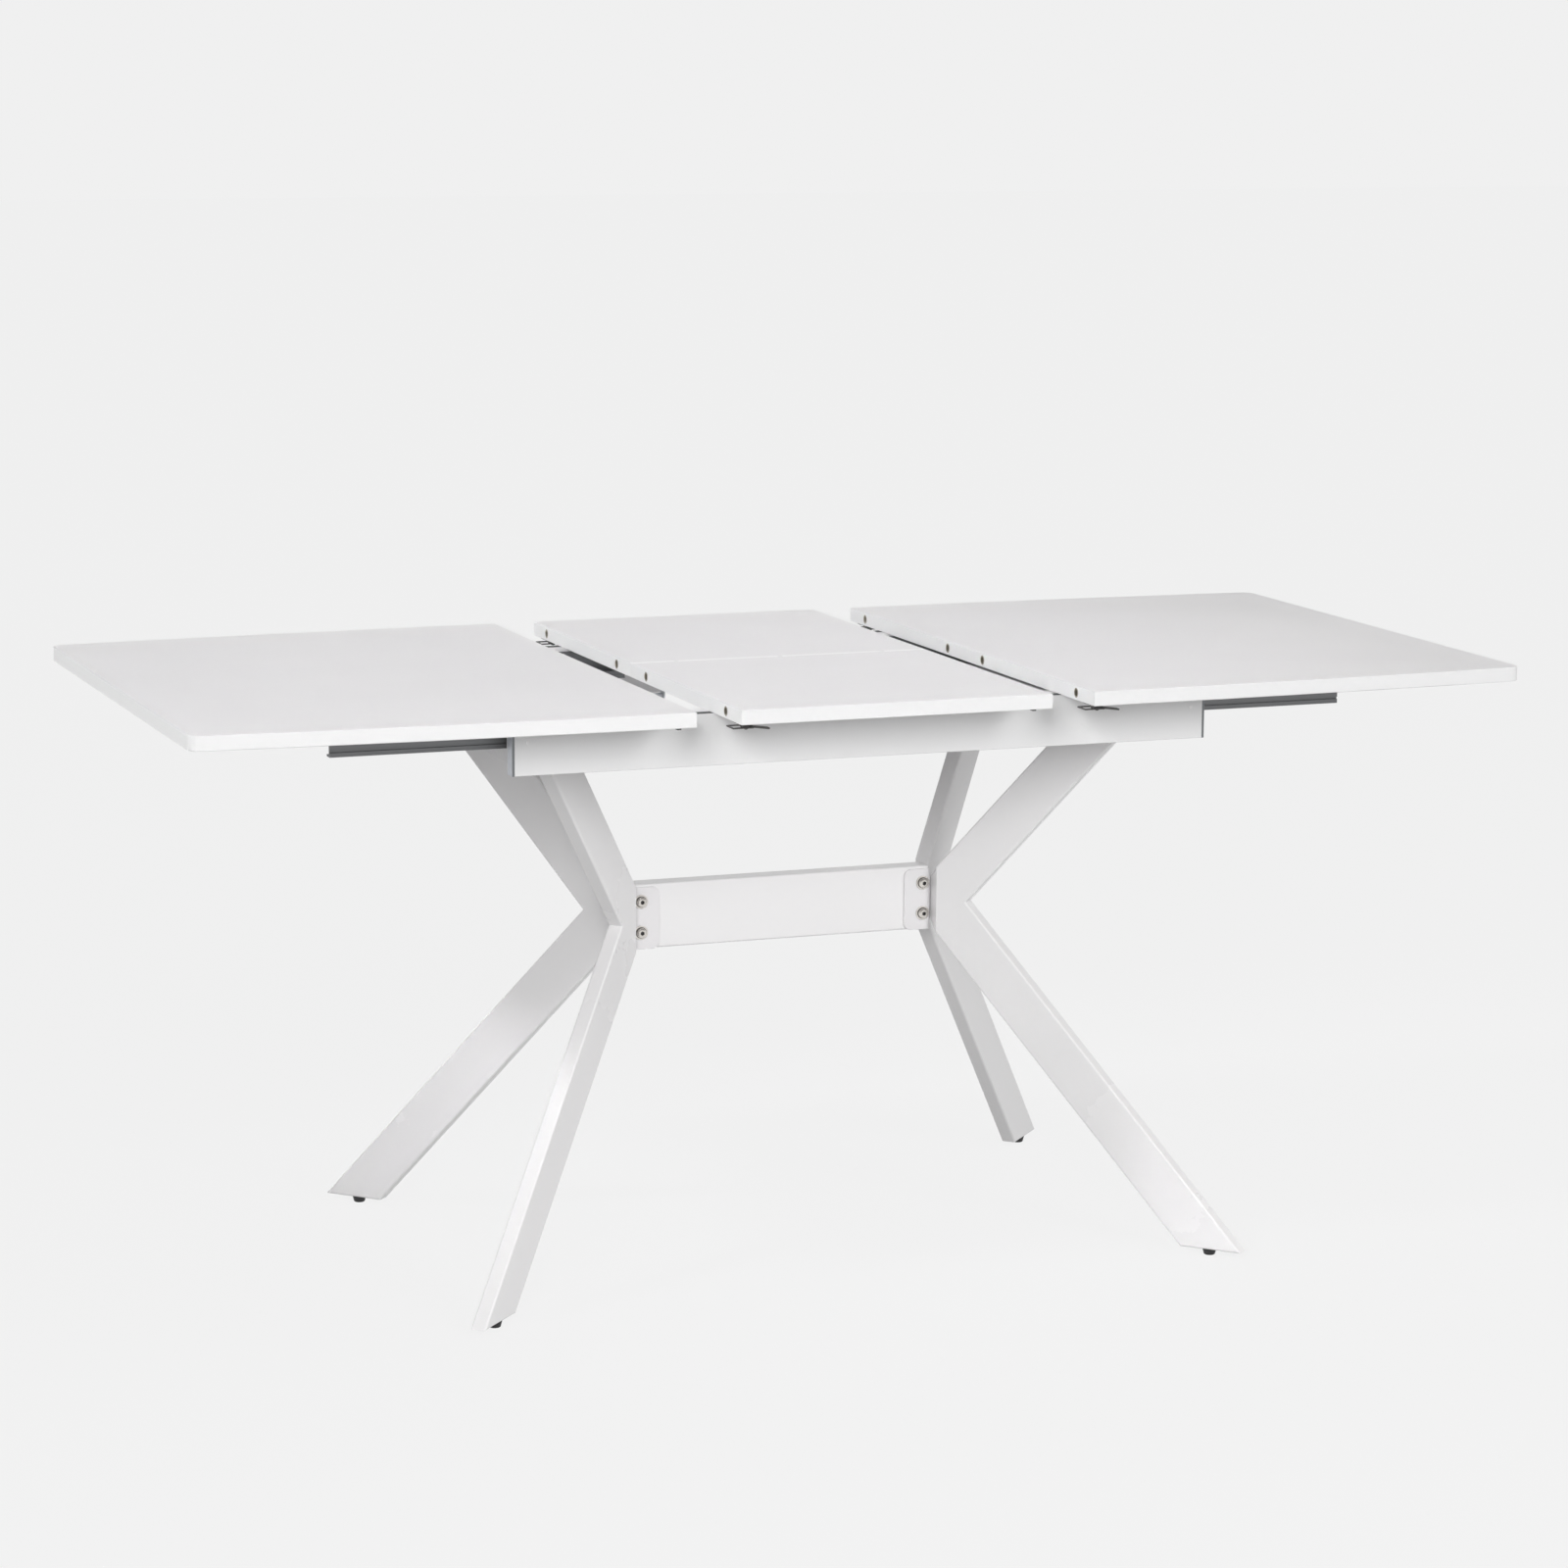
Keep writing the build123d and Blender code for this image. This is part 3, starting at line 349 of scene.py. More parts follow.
@dataclass(frozen=True)
class PowderCoat(Finish):
    """Powder coat on steel tube, with a fine grain."""

    tone_scale: float = 3.5
    fleck_scale: float = 70.0
    fleck_share: float = 0.1
    pebble_scale: float = 1100.0
    wave_scale: float = 240.0
    wave_share: float = 0.5

    def pattern(self, tree: Tree) -> tuple[Socket, Socket]:
        """Slow tone changes along the tubes, and a pebbled grain.

        Args:
            tree: the tree under construction.

        Returns:
            The tone value and the height value.
        """
        sockets = {"Vector": tree.coords(), "Scale": self.pebble_scale}
        pebbles = tree.add("TexVoronoi", sockets, feature="SMOOTH_F1").outputs["Distance"]
        grain = tree.sum(pebbles, tree.noise(self.wave_scale, detail=2.0), self.wave_share)
        flecks = tree.noise(self.fleck_scale, detail=3.0)
        return tree.sum(tree.noise(self.tone_scale, detail=2.0), flecks, self.fleck_share), grain


@dataclass(frozen=True)
class Melamine(Finish):
    """Faced board with a faint print of grain along its length."""

    along: Point = (9.0, 150.0, 150.0)
    tooth_scale: float = 800.0
    tooth_share: float = 0.4

    def pattern(self, tree: Tree) -> tuple[Socket, Socket]:
        """Stretched grain for the tone and the relief."""
        grain = tree.noise(1.0, detail=5.0, vector=tree.stretched(self.along))
        return grain, tree.sum(grain, tree.noise(self.tooth_scale, detail=2.0), self.tooth_share)


@dataclass(frozen=True)
class DrawnSteel(Finish):
    """Rolled or drawn steel with streaks along its length."""

    along: Point = (5.0, 420.0, 420.0)
    mark_scale: float = 24.0
    mark_share: float = 0.25

    def pattern(self, tree: Tree) -> tuple[Socket, Socket]:
        """Rolling streaks, clouded by handling marks."""
        streaks = tree.noise(1.0, detail=4.0, vector=tree.stretched(self.along))
        return tree.sum(streaks, tree.noise(self.mark_scale, detail=4.0), self.mark_share), streaks


@dataclass(frozen=True)
class ZincPlate(Finish):
    """Bright zinc plating with small crystal fields."""

    field_scale: float = 170.0
    cloud_scale: float = 30.0
    cloud_share: float = 0.35
    tooth_scale: float = 1400.0

    def pattern(self, tree: Tree) -> tuple[Socket, Socket]:
        """Crystal fields of differing tone over a fine tooth.

        Args:
            tree: the tree under construction.

        Returns:
            The tone value and the height value.
        """
        cells = tree.add("TexVoronoi", {"Vector": tree.coords(), "Scale": self.field_scale})
        tone = tree.add("RGBToBW", {"Color": cells.outputs["Color"]}).outputs["Val"]
        clouded = tree.sum(tone, tree.noise(self.cloud_scale, detail=3.0), self.cloud_share)
        return clouded, tree.noise(self.tooth_scale, detail=2.0)


@dataclass(frozen=True)
class PaintedShadePlate(ZincPlate):
    """Plated sheet that stands across the length, with painted shade: faces that look away from the
    length drawn dark.
    """

    # Painted shade: the dark colour of the faces that look away from the length.
    cut: Colour = (0.21, 0.22, 0.23)
    lengthwise: tuple[float, float] = (0.55, 0.75)

    def dress(self, tree: Tree, colour: Socket) -> Socket:
        """Painted shade, wherever a face looks away from the length."""
        edges = tree.ramp(tree.size_along("Normal", "X"), *self.lengthwise, 1.0, 0.0)
        return tree.mix(edges, colour, self.cut)


@dataclass(frozen=True)
class TurnedMetal(Finish):
    """Turned or plated metal with faint tool marks and handling haze."""

    haze_scale: float = 160.0
    along: Point = (1800.0, 900.0, 1800.0)

    def pattern(self, tree: Tree) -> tuple[Socket, Socket]:
        """Haze for the tone, with fine marks for the relief."""
        marks = tree.noise(1.0, detail=3.0, vector=tree.stretched(self.along))
        return tree.noise(self.haze_scale, detail=4.0), marks


@dataclass(frozen=True)
class MouldedPlastic(Finish):
    """Moulded plastic with a spark-eroded texture."""

    scuff_scale: float = 220.0
    spark_scale: float = 1500.0

    def pattern(self, tree: Tree) -> tuple[Socket, Socket]:
        """Scuffs for the tone, with a fine pitted grain."""
        return tree.noise(self.scuff_scale, detail=5.0), tree.noise(self.spark_scale, detail=3.0)


FINISHES: dict[Slot, Finish] = {
    Slot.LACQUER: Lacquer(
        "white_lacquer",
        tone=(0.788, 0.776, 0.781),
        shade=(0.763, 0.752, 0.758),
        rough=(0.30, 0.38),
        relief=0.05,
    ),
    Slot.BOARD: Melamine(
        "white_board",
        tone=(0.86, 0.853, 0.86),
        shade=(0.82, 0.813, 0.82),
        rough=(0.42, 0.52),
        relief=0.08,
    ),
    Slot.POWDER: PowderCoat(
        "white_powder_coat",
        tone=(0.89, 0.882, 0.885),
        shade=(0.87, 0.862, 0.866),
        rough=(0.20, 0.28),
        relief=0.08,
    ),
    Slot.BAR: DrawnSteel(
        "slide_steel",
        tone=(0.145, 0.149, 0.153),
        shade=(0.215, 0.219, 0.224),
        rough=(0.34, 0.50),
        relief=0.25,
        metal=0.85,
    ),
    Slot.ZINC: ZincPlate(
        "zinc_steel",
        tone=(0.50, 0.515, 0.54),
        shade=(0.60, 0.615, 0.64),
        rough=(0.32, 0.46),
        relief=0.1,
        metal=0.9,
    ),
    Slot.BRASS: TurnedMetal(
        "brass",
        tone=(0.60, 0.555, 0.475),
        shade=(0.43, 0.395, 0.335),
        rough=(0.30, 0.44),
        relief=0.12,
        metal=0.85,
    ),
    Slot.NICKEL: TurnedMetal(
        "nickel",
        tone=(0.80, 0.77, 0.73),
        shade=(0.64, 0.61, 0.57),
        rough=(0.14, 0.26),
        relief=0.1,
        metal=1.0,
    ),
    Slot.LATCH: TurnedMetal(
        "latch_steel",
        tone=(0.085, 0.083, 0.082),
        shade=(0.13, 0.127, 0.125),
        rough=(0.34, 0.5),
        relief=0.2,
        metal=0.8,
    ),
    Slot.PLASTIC: MouldedPlastic(
        "black_plastic",
        tone=(0.012, 0.012, 0.013),
        shade=(0.022, 0.022, 0.023),
        rough=(0.45, 0.6),
        relief=0.3,
    ),
}

BRACKET = PowderCoat(
    "bracket_powder_coat",
    tone=(0.835, 0.822, 0.833),
    shade=(0.815, 0.802, 0.813),
    rough=(0.24, 0.32),
    relief=0.08,
)
# The apron end plates, with painted shade on their thin edges.
END_PLATE = PaintedShadePlate(
    "end_plate_steel",
    tone=(0.59, 0.61, 0.66),
    shade=(0.68, 0.70, 0.75),
    rough=(0.36, 0.5),
    relief=0.1,
    metal=0.5,
)
NODE_FINISHES: dict[str, Finish] = {
    "left_knee_bracket": BRACKET,
    "right_knee_bracket": BRACKET,
    "apron_end_plates": END_PLATE,
}


class Palette:
    """The finished materials, made once each."""

    def __init__(self, finishes: dict[Slot, Finish], exceptions: dict[str, Finish]) -> None:
        """Keep the finishes.

        Args:
            finishes: the finish of each slot.
            exceptions: the finishes of single nodes that differ from their slot.
        """
        self._finishes = finishes
        self._exceptions = exceptions
        self._made: dict[str, bpy.types.Material] = {}

    def of_slot(self, slot: Slot) -> bpy.types.Material:
        """The material of a slot."""
        return self._make(self._finishes[slot])

    def of_node(self, name: str, slot: Slot) -> bpy.types.Material:
        """The material of a node."""
        return self._make(self._exceptions.get(name, self._finishes[slot]))

    def _make(self, finish: Finish) -> bpy.types.Material:
        """The material of a finish, built the first time that it is asked for.

        Args:
            finish: the finish.

        Returns:
            Its material.
        """
        if finish.name not in self._made:
            self._made[finish.name] = finish.build()
        return self._made[finish.name]

    def dress(self, frame: dict) -> None:
        """Give every solid the finish of its slot.

        Args:
            frame: what the frame's load returned.
        """
        for part in frame["record"]["subparts"]:
            node = frame["nodes"][part["node"]]
            material = self.of_node(part["node"], Slot(part["material_slot"]))
            node.data.materials.clear()
            node.data.materials.append(material)
            LOG.info("dressed %s in %s", node.name, material.name)


def rectangle(mesh: BMesh, length: float, width: float) -> None:
    """Make one flat face round the origin, with its length along X.

    Args:
        mesh: the mesh to build in.
        length: the face's size along X.
        width: the face's size along Y.
    """
    bmesh.ops.create_grid(mesh, x_segments=1, y_segments=1, size=0.5)
    bmesh.ops.scale(mesh, vec=(length, width, 1.0), verts=mesh.verts[:])


def hollow(mesh: BMesh, band: float) -> None:
    """Leave only a band along the outline of the mesh's one face.

    Args:
        mesh: the mesh to build in.
        band: the band's width.
    """
    middle = mesh.faces[:]
    bmesh.ops.inset_region(mesh, faces=middle, use_boundary=True, thickness=band, use_even_offset=True)
    bmesh.ops.delete(mesh, geom=middle, context="FACES_ONLY")


def lift(mesh: BMesh, faces: Sequence[BMFace], by: Point) -> list[BMVert]:
    """Extrude faces and move the new ones.

    Args:
        mesh: the mesh to build in.
        faces: the faces to extrude.
        by: how far and which way the new faces go.

    Returns:
        The corners of the new faces.
    """
    made = bmesh.ops.extrude_face_region(mesh, geom=faces)["geom"]
    moved = [item for item in made if isinstance(item, BMVert)]
    bmesh.ops.translate(mesh, verts=moved, vec=by)
    return moved


def lift_edges(mesh: BMesh, edges: Sequence[BMEdge], height: float) -> None:
    """Extrude edges into upright walls.

    Args:
        mesh: the mesh to build in.
        edges: the edges to extrude.
        height: the walls' height.
    """
    made = bmesh.ops.extrude_edge_only(mesh, edges=edges)["geom"]
    moved = [item for item in made if isinstance(item, BMVert)]
    bmesh.ops.translate(mesh, verts=moved, vec=(0.0, 0.0, height))


def between(mesh: BMesh, verts: Sequence[BMVert]) -> list[BMEdge]:
    """The edges whose two ends are both among some corners."""
    return [edge for edge in mesh.edges if all(vert in verts for vert in edge.verts)]


def soften(mesh: BMesh, edges: Sequence[BMEdge], offset: float, steps: int) -> None:
    """Round some edges.

    Args:
        mesh: the mesh to build in.
        edges: the edges to round.
        offset: how far the rounding reaches.
        steps: how many faces it has.
    """
    bmesh.ops.bevel(
        mesh, geom=edges, offset=offset, affect="EDGES", segments=steps, profile=0.5, material=-1
    )


def turn_outwards(mesh: BMesh) -> None:
    """Point every face outwards."""
    bmesh.ops.recalc_face_normals(mesh, faces=mesh.faces[:])


@dataclass
class Screw:
    """A pan-head screw whose head shows, with a cross recess."""

    head: float = 5.0 * MM
    height: float = 1.4 * MM
    round_share: float = 0.6
    round_steps: int = 3
    recess_long: float = 1.5 * MM
    recess_half: float = 0.35 * MM
    recess_depth: float = 0.7 * MM
    sides: int = 20

    def shape(self, mesh: BMesh) -> None:
        """Model one head that stands on the origin and points up.

        Args:
            mesh: the mesh to build in.
        """
        bmesh.ops.create_circle(mesh, cap_ends=True, radius=self.head / 2, segments=self.sides)
        top = lift(mesh, mesh.faces[:], (0.0, 0.0, self.height))
        soften(mesh, between(mesh, top), self.height * self.round_share, self.round_steps)
        self._recess(mesh)
        turn_outwards(mesh)

    def _recess(self, mesh: BMesh) -> None:
        """Sink the cross into the top face.

        Args:
            mesh: the mesh to build in.
        """
        reaches = (-self.recess_long, -self.recess_half, self.recess_half, self.recess_long)
        for axis in (Vector((1.0, 0.0, 0.0)), Vector((0.0, 1.0, 0.0))):
            for reach in reaches:
                flat = self._top(mesh)
                edges = list(dict.fromkeys(edge for face in flat for edge in face.edges))
                bmesh.ops.bisect_plane(
                    mesh, geom=flat + edges, dist=CUT_SLACK, plane_co=axis * reach, plane_no=axis
                )
        cross = [face for face in self._top(mesh) if self._in_cross(face.calc_center_median())]
        lift(mesh, cross, (0.0, 0.0, -self.recess_depth))
        bmesh.ops.delete(mesh, geom=cross, context="FACES")

    def _top(self, mesh: BMesh) -> list[BMFace]:
        """The faces of the flat top."""
        level = self.height - LEVEL_SLACK
        return [face for face in mesh.faces if face.calc_center_median().z > level]

    def _in_cross(self, point: Vector) -> bool:
        """Whether a point of the top lies in the cross."""
        near, far = sorted((abs(point.x), abs(point.y)))
        return near < self.recess_half and far < self.recess_long


@dataclass
class CoverCap:
    """A domed cover cap over a screw in a board."""

    radius: float = 2.6 * MM
    height: float = 0.7 * MM
    round_share: float = 0.8
    round_steps: int = 4
    sides: int = 24

    def shape(self, mesh: BMesh) -> None:
        """Model one cap that stands on the origin and points up.

        Args:
            mesh: the mesh to build in.
        """
        bmesh.ops.create_cone(
            mesh,
            cap_ends=True,
            segments=self.sides,
            radius1=self.radius,
            radius2=self.radius,
            depth=self.height,
        )
        bmesh.ops.translate(mesh, verts=mesh.verts[:], vec=(0.0, 0.0, self.height / 2))
        top = [vert for vert in mesh.verts if vert.co.z > self.height / 2]
        soften(mesh, between(mesh, top), self.height * self.round_share, self.round_steps)


@dataclass
class FlatRing:
    """A thin flat ring."""

    outer: float
    inner: float
    height: float
    sides: int = 32

    def shape(self, mesh: BMesh) -> None:
        """Model one ring that stands on the origin and points up.

        Args:
            mesh: the mesh to build in.
        """
        bmesh.ops.create_circle(mesh, cap_ends=True, radius=self.outer, segments=self.sides)
        hollow(mesh, self.outer - self.inner)
        lift(mesh, mesh.faces[:], (0.0, 0.0, self.height))
        turn_outwards(mesh)


@dataclass
class SocketShadeCup:
    """A dark lining that paints shade inside a key socket."""

    radius: float = 2.42 * MM
    depth: float = 2.75 * MM
    wall: float = 0.06 * MM
    sides: int = 18

    def shape(self, mesh: BMesh) -> None:
        """Model one cup whose mouth lies at the origin and whose floor is below it.

        Args:
            mesh: the mesh to build in.
        """
        bmesh.ops.create_circle(mesh, cap_ends=True, radius=self.radius, segments=self.sides)
        lift_edges(mesh, [edge for edge in mesh.edges if edge.is_boundary], self.depth)
        bmesh.ops.translate(mesh, verts=mesh.verts[:], vec=(0.0, 0.0, -self.depth))
        turn_outwards(mesh)
        bmesh.ops.solidify(mesh, geom=mesh.faces[:], thickness=self.wall)


@dataclass
class Strip:
    """A long flat strip with softened edges."""

    length: float
    width: float
    height: float
    round_reach: float = 0.12 * MM
    round_steps: int = 2

    def shape(self, mesh: BMesh) -> None:
        """Model one strip along X that stands on the origin and points up.

        Args:
            mesh: the mesh to build in.
        """
        rectangle(mesh, self.length, self.width)
        top = lift(mesh, mesh.faces[:], (0.0, 0.0, self.height))
        soften(mesh, between(mesh, top), self.round_reach, self.round_steps)
        turn_outwards(mesh)


@dataclass
class CornerBrace:
    """A bent steel plate that ties two boards in a corner."""

    reach: float = 16.0 * MM
    height: float = 15.0 * MM
    plate: float = 1.5 * MM
    bend: float = 1.2 * MM
    bend_steps: int = 4

    def shape(self, mesh: BMesh) -> None:
        """Model one brace in the corner at the origin, with its arms along +X and +Y.

        Args:
            mesh: the mesh to build in.
        """
        places = ((self.reach, 0.0), (0.0, 0.0), (0.0, self.reach))
        line = [mesh.verts.new((x, y, -self.height / 2)) for x, y in places]
        lift_edges(mesh, [mesh.edges.new(pair) for pair in zip(line, line[1:])], self.height)
        crease = [edge for edge in mesh.edges if len(edge.link_faces) == 2]
        soften(mesh, crease, self.bend, self.bend_steps)
        self._thicken(mesh)

    def _thicken(self, mesh: BMesh) -> None:
        """Give the plate its thickness, towards the inside of the corner.

        Args:
            mesh: the mesh to build in.
        """
        turn_outwards(mesh)
        inward = sum((face.normal for face in mesh.faces), Vector()).dot(Vector((1.0, 1.0, 0.0)))
        thickness = -self.plate if inward > 0 else self.plate
        bmesh.ops.solidify(mesh, geom=mesh.faces[:], thickness=thickness)
        turn_outwards(mesh)


@dataclass
class WeldCollar:
    """A weld bead round the slanting top end of a leg, sunk a little into the tube."""

    length: float = 80.3 * MM
    width: float = 20.0 * MM
    bead: float = 3.6 * MM
    sink: float = 1.5 * MM
    round_share: float = 0.9
    round_steps: int = 3
    slope: float = 48.4

    def shape(self, mesh: BMesh) -> None:
        """Model one bead that hangs from the origin, leaning with the leg.

        Args:
            mesh: the mesh to build in.
        """
        rectangle(mesh, self.length + 2 * self.bead, self.width + 2 * self.bead)
        hollow(mesh, self.bead + self.sink)
        floor = lift(mesh, mesh.faces[:], (0.0, 0.0, -self.bead))
        outside = [vert for vert in floor if abs(vert.co.y) > (self.width + self.bead) / 2]
        soften(mesh, between(mesh, outside), self.bead * self.round_share, self.round_steps)
        lean = Matrix.Identity(4)
        lean[0][2] = 1.0 / math.tan(math.radians(self.slope))
        bmesh.ops.transform(mesh, matrix=lean, verts=mesh.verts[:])
        turn_outwards(mesh)


@dataclass
class EndCap:
    """A thin plate that closes the slanting mouth of a leg."""

    near: float = 10.4 * MM
    far: float = 32.4 * MM
    near_low: float = 405.6 * MM
    near_high: float = 448.9 * MM
    far_low: float = 388.3 * MM
    far_high: float = 466.7 * MM
    plate: float = 1.1 * MM
    round_reach: float = 0.4 * MM
    round_steps: int = 3

    def shape(self, mesh: BMesh) -> None:
        """Model one plate whose outer face lies on x = 0, behind which the leg runs along +X.

        Args:
            mesh: the mesh to build in.
        """
        outline = (
            (self.near, self.near_low),
            (self.far, self.far_low),
            (self.far, self.far_high),
            (self.near, self.near_high),
        )
        corners_at = [mesh.verts.new((0.0, y, z)) for y, z in outline]
        lift(mesh, [mesh.faces.new(corners_at)], (self.plate, 0.0, 0.0))
        front = [vert for vert in mesh.verts if abs(vert.co.x) < self.plate / 2]
        soften(mesh, between(mesh, front), self.round_reach, self.round_steps)
        turn_outwards(mesh)


class Workshop:
    """Turns small shapes into finished pieces."""

    def __init__(self, palette: Palette) -> None:
        """Keep the palette.

        Args:
            palette: the finished materials.
        """
        self._palette = palette

    def piece(
        self,
        name: str,
        shape: Callable[[BMesh], None],
        places: Sequence[Matrix],
        slot: Slot,
        body: Body,
    ) -> None:
        """Set copies of a shape as one piece on a body.

        Args:
            name: the piece's name.
            shape: what models one copy at the origin.
            places: where each copy goes.
            slot: the finish.
            body: the body that the piece rides on.
        """
        data = self._copies(name, shape, places)
        data.shade_smooth()
        data.set_sharp_from_angle(angle=math.radians(SHARP_ANGLE))
        item = bpy.data.objects.new(name, data)
        bpy.context.scene.collection.objects.link(item)
        item.data.materials.append(self._palette.of_slot(slot))
        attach(item, body.value)
        LOG.info("made %s, %d copies, on %s", name, len(places), body.value)

    def _copies(
        self, name: str, shape: Callable[[BMesh], None], places: Sequence[Matrix]
    ) -> bpy.types.Mesh:
        """Join the copies of a shape, with the faces of a mirrored one turned back outwards.

        Args:
            name: the mesh's name.
            shape: what models one copy at the origin.
            places: where each copy goes.

        Returns:
            The mesh of all the copies.
        """
        whole = bmesh.new()
        for place in places:
            single = bmesh.new()
            shape(single)
            bmesh.ops.transform(single, matrix=place, verts=single.verts[:])
            if place.determinant() < 0.0:
                bmesh.ops.reverse_faces(single, faces=single.faces[:])
            copy = bpy.data.meshes.new("copy")
            single.to_mesh(copy)
            single.free()
            whole.from_mesh(copy)
            bpy.data.meshes.remove(copy)
        data = bpy.data.meshes.new(name)
        whole.to_mesh(data)
        whole.free()
        return data


def facing(point: Iterable[float], direction: Iterable[float]) -> Matrix:
    """A place whose up direction points a given way."""
    turn = Vector(direction).normalized().to_track_quat("Z", "Y")
    return Matrix.Translation(Vector(point)) @ turn.to_matrix().to_4x4()


@dataclass
class LatchScrews:
    """Screws that hold the latch plates and the keepers."""

    screw: Screw = field(default_factory=Screw)
    plate: float = 1.5 * MM
    far_inset: float = 4.0 * MM
    near_inset: float = 3.6 * MM
    side_inset: float = 3.4 * MM
    keeper_inset: float = 3.2 * MM
    keeper_side: float = 3.2 * MM

    def build(self, shop: Workshop) -> None:
        """Set the screws under every plate.

        Args:
            shop: the workshop.
        """
        halves = {"insert_front": Body.FRAME, "insert_back": Body.INSERT_BACK}
        leaf = {"right_front": Body.RIGHT_LEAF, "right_back": Body.RIGHT_LEAF}
        for name, body in (halves | leaf).items():
            places = self._latch_places(f"{name}_latch_base")
            shop.piece(f"{name}_latch_screws", self.screw.shape, places, Slot.NICKEL, body)
        for name, body in halves.items():
            places = self._keeper_pair(*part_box(f"{name}_keeper"))
            shop.piece(f"{name}_keeper_screws", self.screw.shape, places, Slot.NICKEL, body)
        self._leaf_keepers(shop)

    def _leaf_keepers(self, shop: Workshop) -> None:
        """Set the screws of the left leaf's two keepers, which are one node.

        Args:
            shop: the workshop.
        """
        low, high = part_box("left_leaf_keepers")
        one_low, one_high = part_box("insert_front_keeper")
        width = one_high.y - one_low.y
        pairs = []
        for y0 in (low.y, high.y - width):
            pairs += self._keeper_pair(Vector((low.x, y0, low.z)), Vector((high.x, y0 + width, high.z)))
        shop.piece("left_leaf_keeper_screws", self.screw.shape, pairs, Slot.NICKEL, Body.LEFT_LEAF)

    def _latch_places(self, node: str) -> list[Matrix]:
        """The four screws of a latch plate.

        Args:
            node: the plate's node.

        Returns:
            The screws' places.
        """
        low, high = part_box(node)
        level = high.z - self.plate
        xs = (low.x + self.near_inset, high.x - self.far_inset)
        ys = (low.y + self.side_inset, high.y - self.side_inset)
        return [facing((x, y, level), DOWN) for x in xs for y in ys]

    def _keeper_pair(self, low: Vector, high: Vector) -> list[Matrix]:
        """The two screws of a keeper between two corners."""
        ys = (low.y + self.keeper_side, high.y - self.keeper_side)
        return [facing((low.x + self.keeper_inset, y, high.z - self.plate), DOWN) for y in ys]


@dataclass
class ApronCaps:
    """Cover caps near the ends of the aprons."""

    cap: CoverCap = field(default_factory=CoverCap)
    end_distance: float = 16.2 * MM
    drop: float = 23.2 * MM

    def build(self, shop: Workshop) -> None:
        """Set the caps on both aprons.

        Args:
            shop: the workshop.
        """
        for name, side in zip(("front", "back"), SIDES):
            low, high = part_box(f"{name}_apron")
            face = low.y if side < 0 else high.y
            xs = (low.x + self.end_distance, high.x - self.end_distance)
            places = [facing((x, face, high.z - self.drop), (0.0, side, 0.0)) for x in xs]
            shop.piece(f"{name}_apron_caps", self.cap.shape, places, Slot.POWDER, Body.FRAME)


@dataclass
class StretcherBoltShade:
    """Painted shade at the stretcher's bolts: dark rings round the heads where they sit, and dark
    linings in their key sockets.
    """

    head_radius: float = 6.5 * MM
    head_height: float = 5.0 * MM
    ring: FlatRing = field(default_factory=lambda: FlatRing(7.2 * MM, 6.55 * MM, 0.4 * MM))
    cup: SocketShadeCup = field(default_factory=SocketShadeCup)

    def build(self, shop: Workshop) -> None:
        """Set a dark ring of painted shade and a dark lining of painted shade at every bolt.

        Args:
            shop: the workshop.
        """
        low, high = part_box("stretcher_bolts")
        xs = (low.x + self.head_radius, high.x - self.head_radius)
        zs = (low.z + self.head_radius, high.z - self.head_radius)
        seats = [facing((x, low.y + self.head_height, z), AHEAD) for x in xs for z in zs]
        mouths = [facing((x, low.y + self.cup.wall, z), AHEAD) for x in xs for z in zs]
        # Painted shade: dark rings round the heads, and dark linings in the key sockets.
        shop.piece("stretcher_bolt_seat_shade", self.ring.shape, seats, Slot.LATCH, Body.FRAME)
        shop.piece("stretcher_bolt_socket_shade", self.cup.shape, mouths, Slot.LATCH, Body.FRAME)


@dataclass
class ApronTopStrips:
    """Dark strips laid along the tops of the aprons, under the top panels."""

    end_distance: float = 22.0 * MM
    side_margin: float = 2.5 * MM
    height: float = 0.35 * MM

    def build(self, shop: Workshop) -> None:
        """Lay a strip on each apron.

        Args:
            shop: the workshop.
        """
        for name in ("front", "back"):
            low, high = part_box(f"{name}_apron")
            length = high.x - low.x - 2 * self.end_distance
            strip = Strip(length, high.y - low.y - 2 * self.side_margin, self.height)
            place = Matrix.Translation(((low.x + high.x) / 2, (low.y + high.y) / 2, high.z))
            # A dark strip along the top of each apron.
            shop.piece(f"{name}_apron_top_strip", strip.shape, [place], Slot.PLASTIC, Body.FRAME)


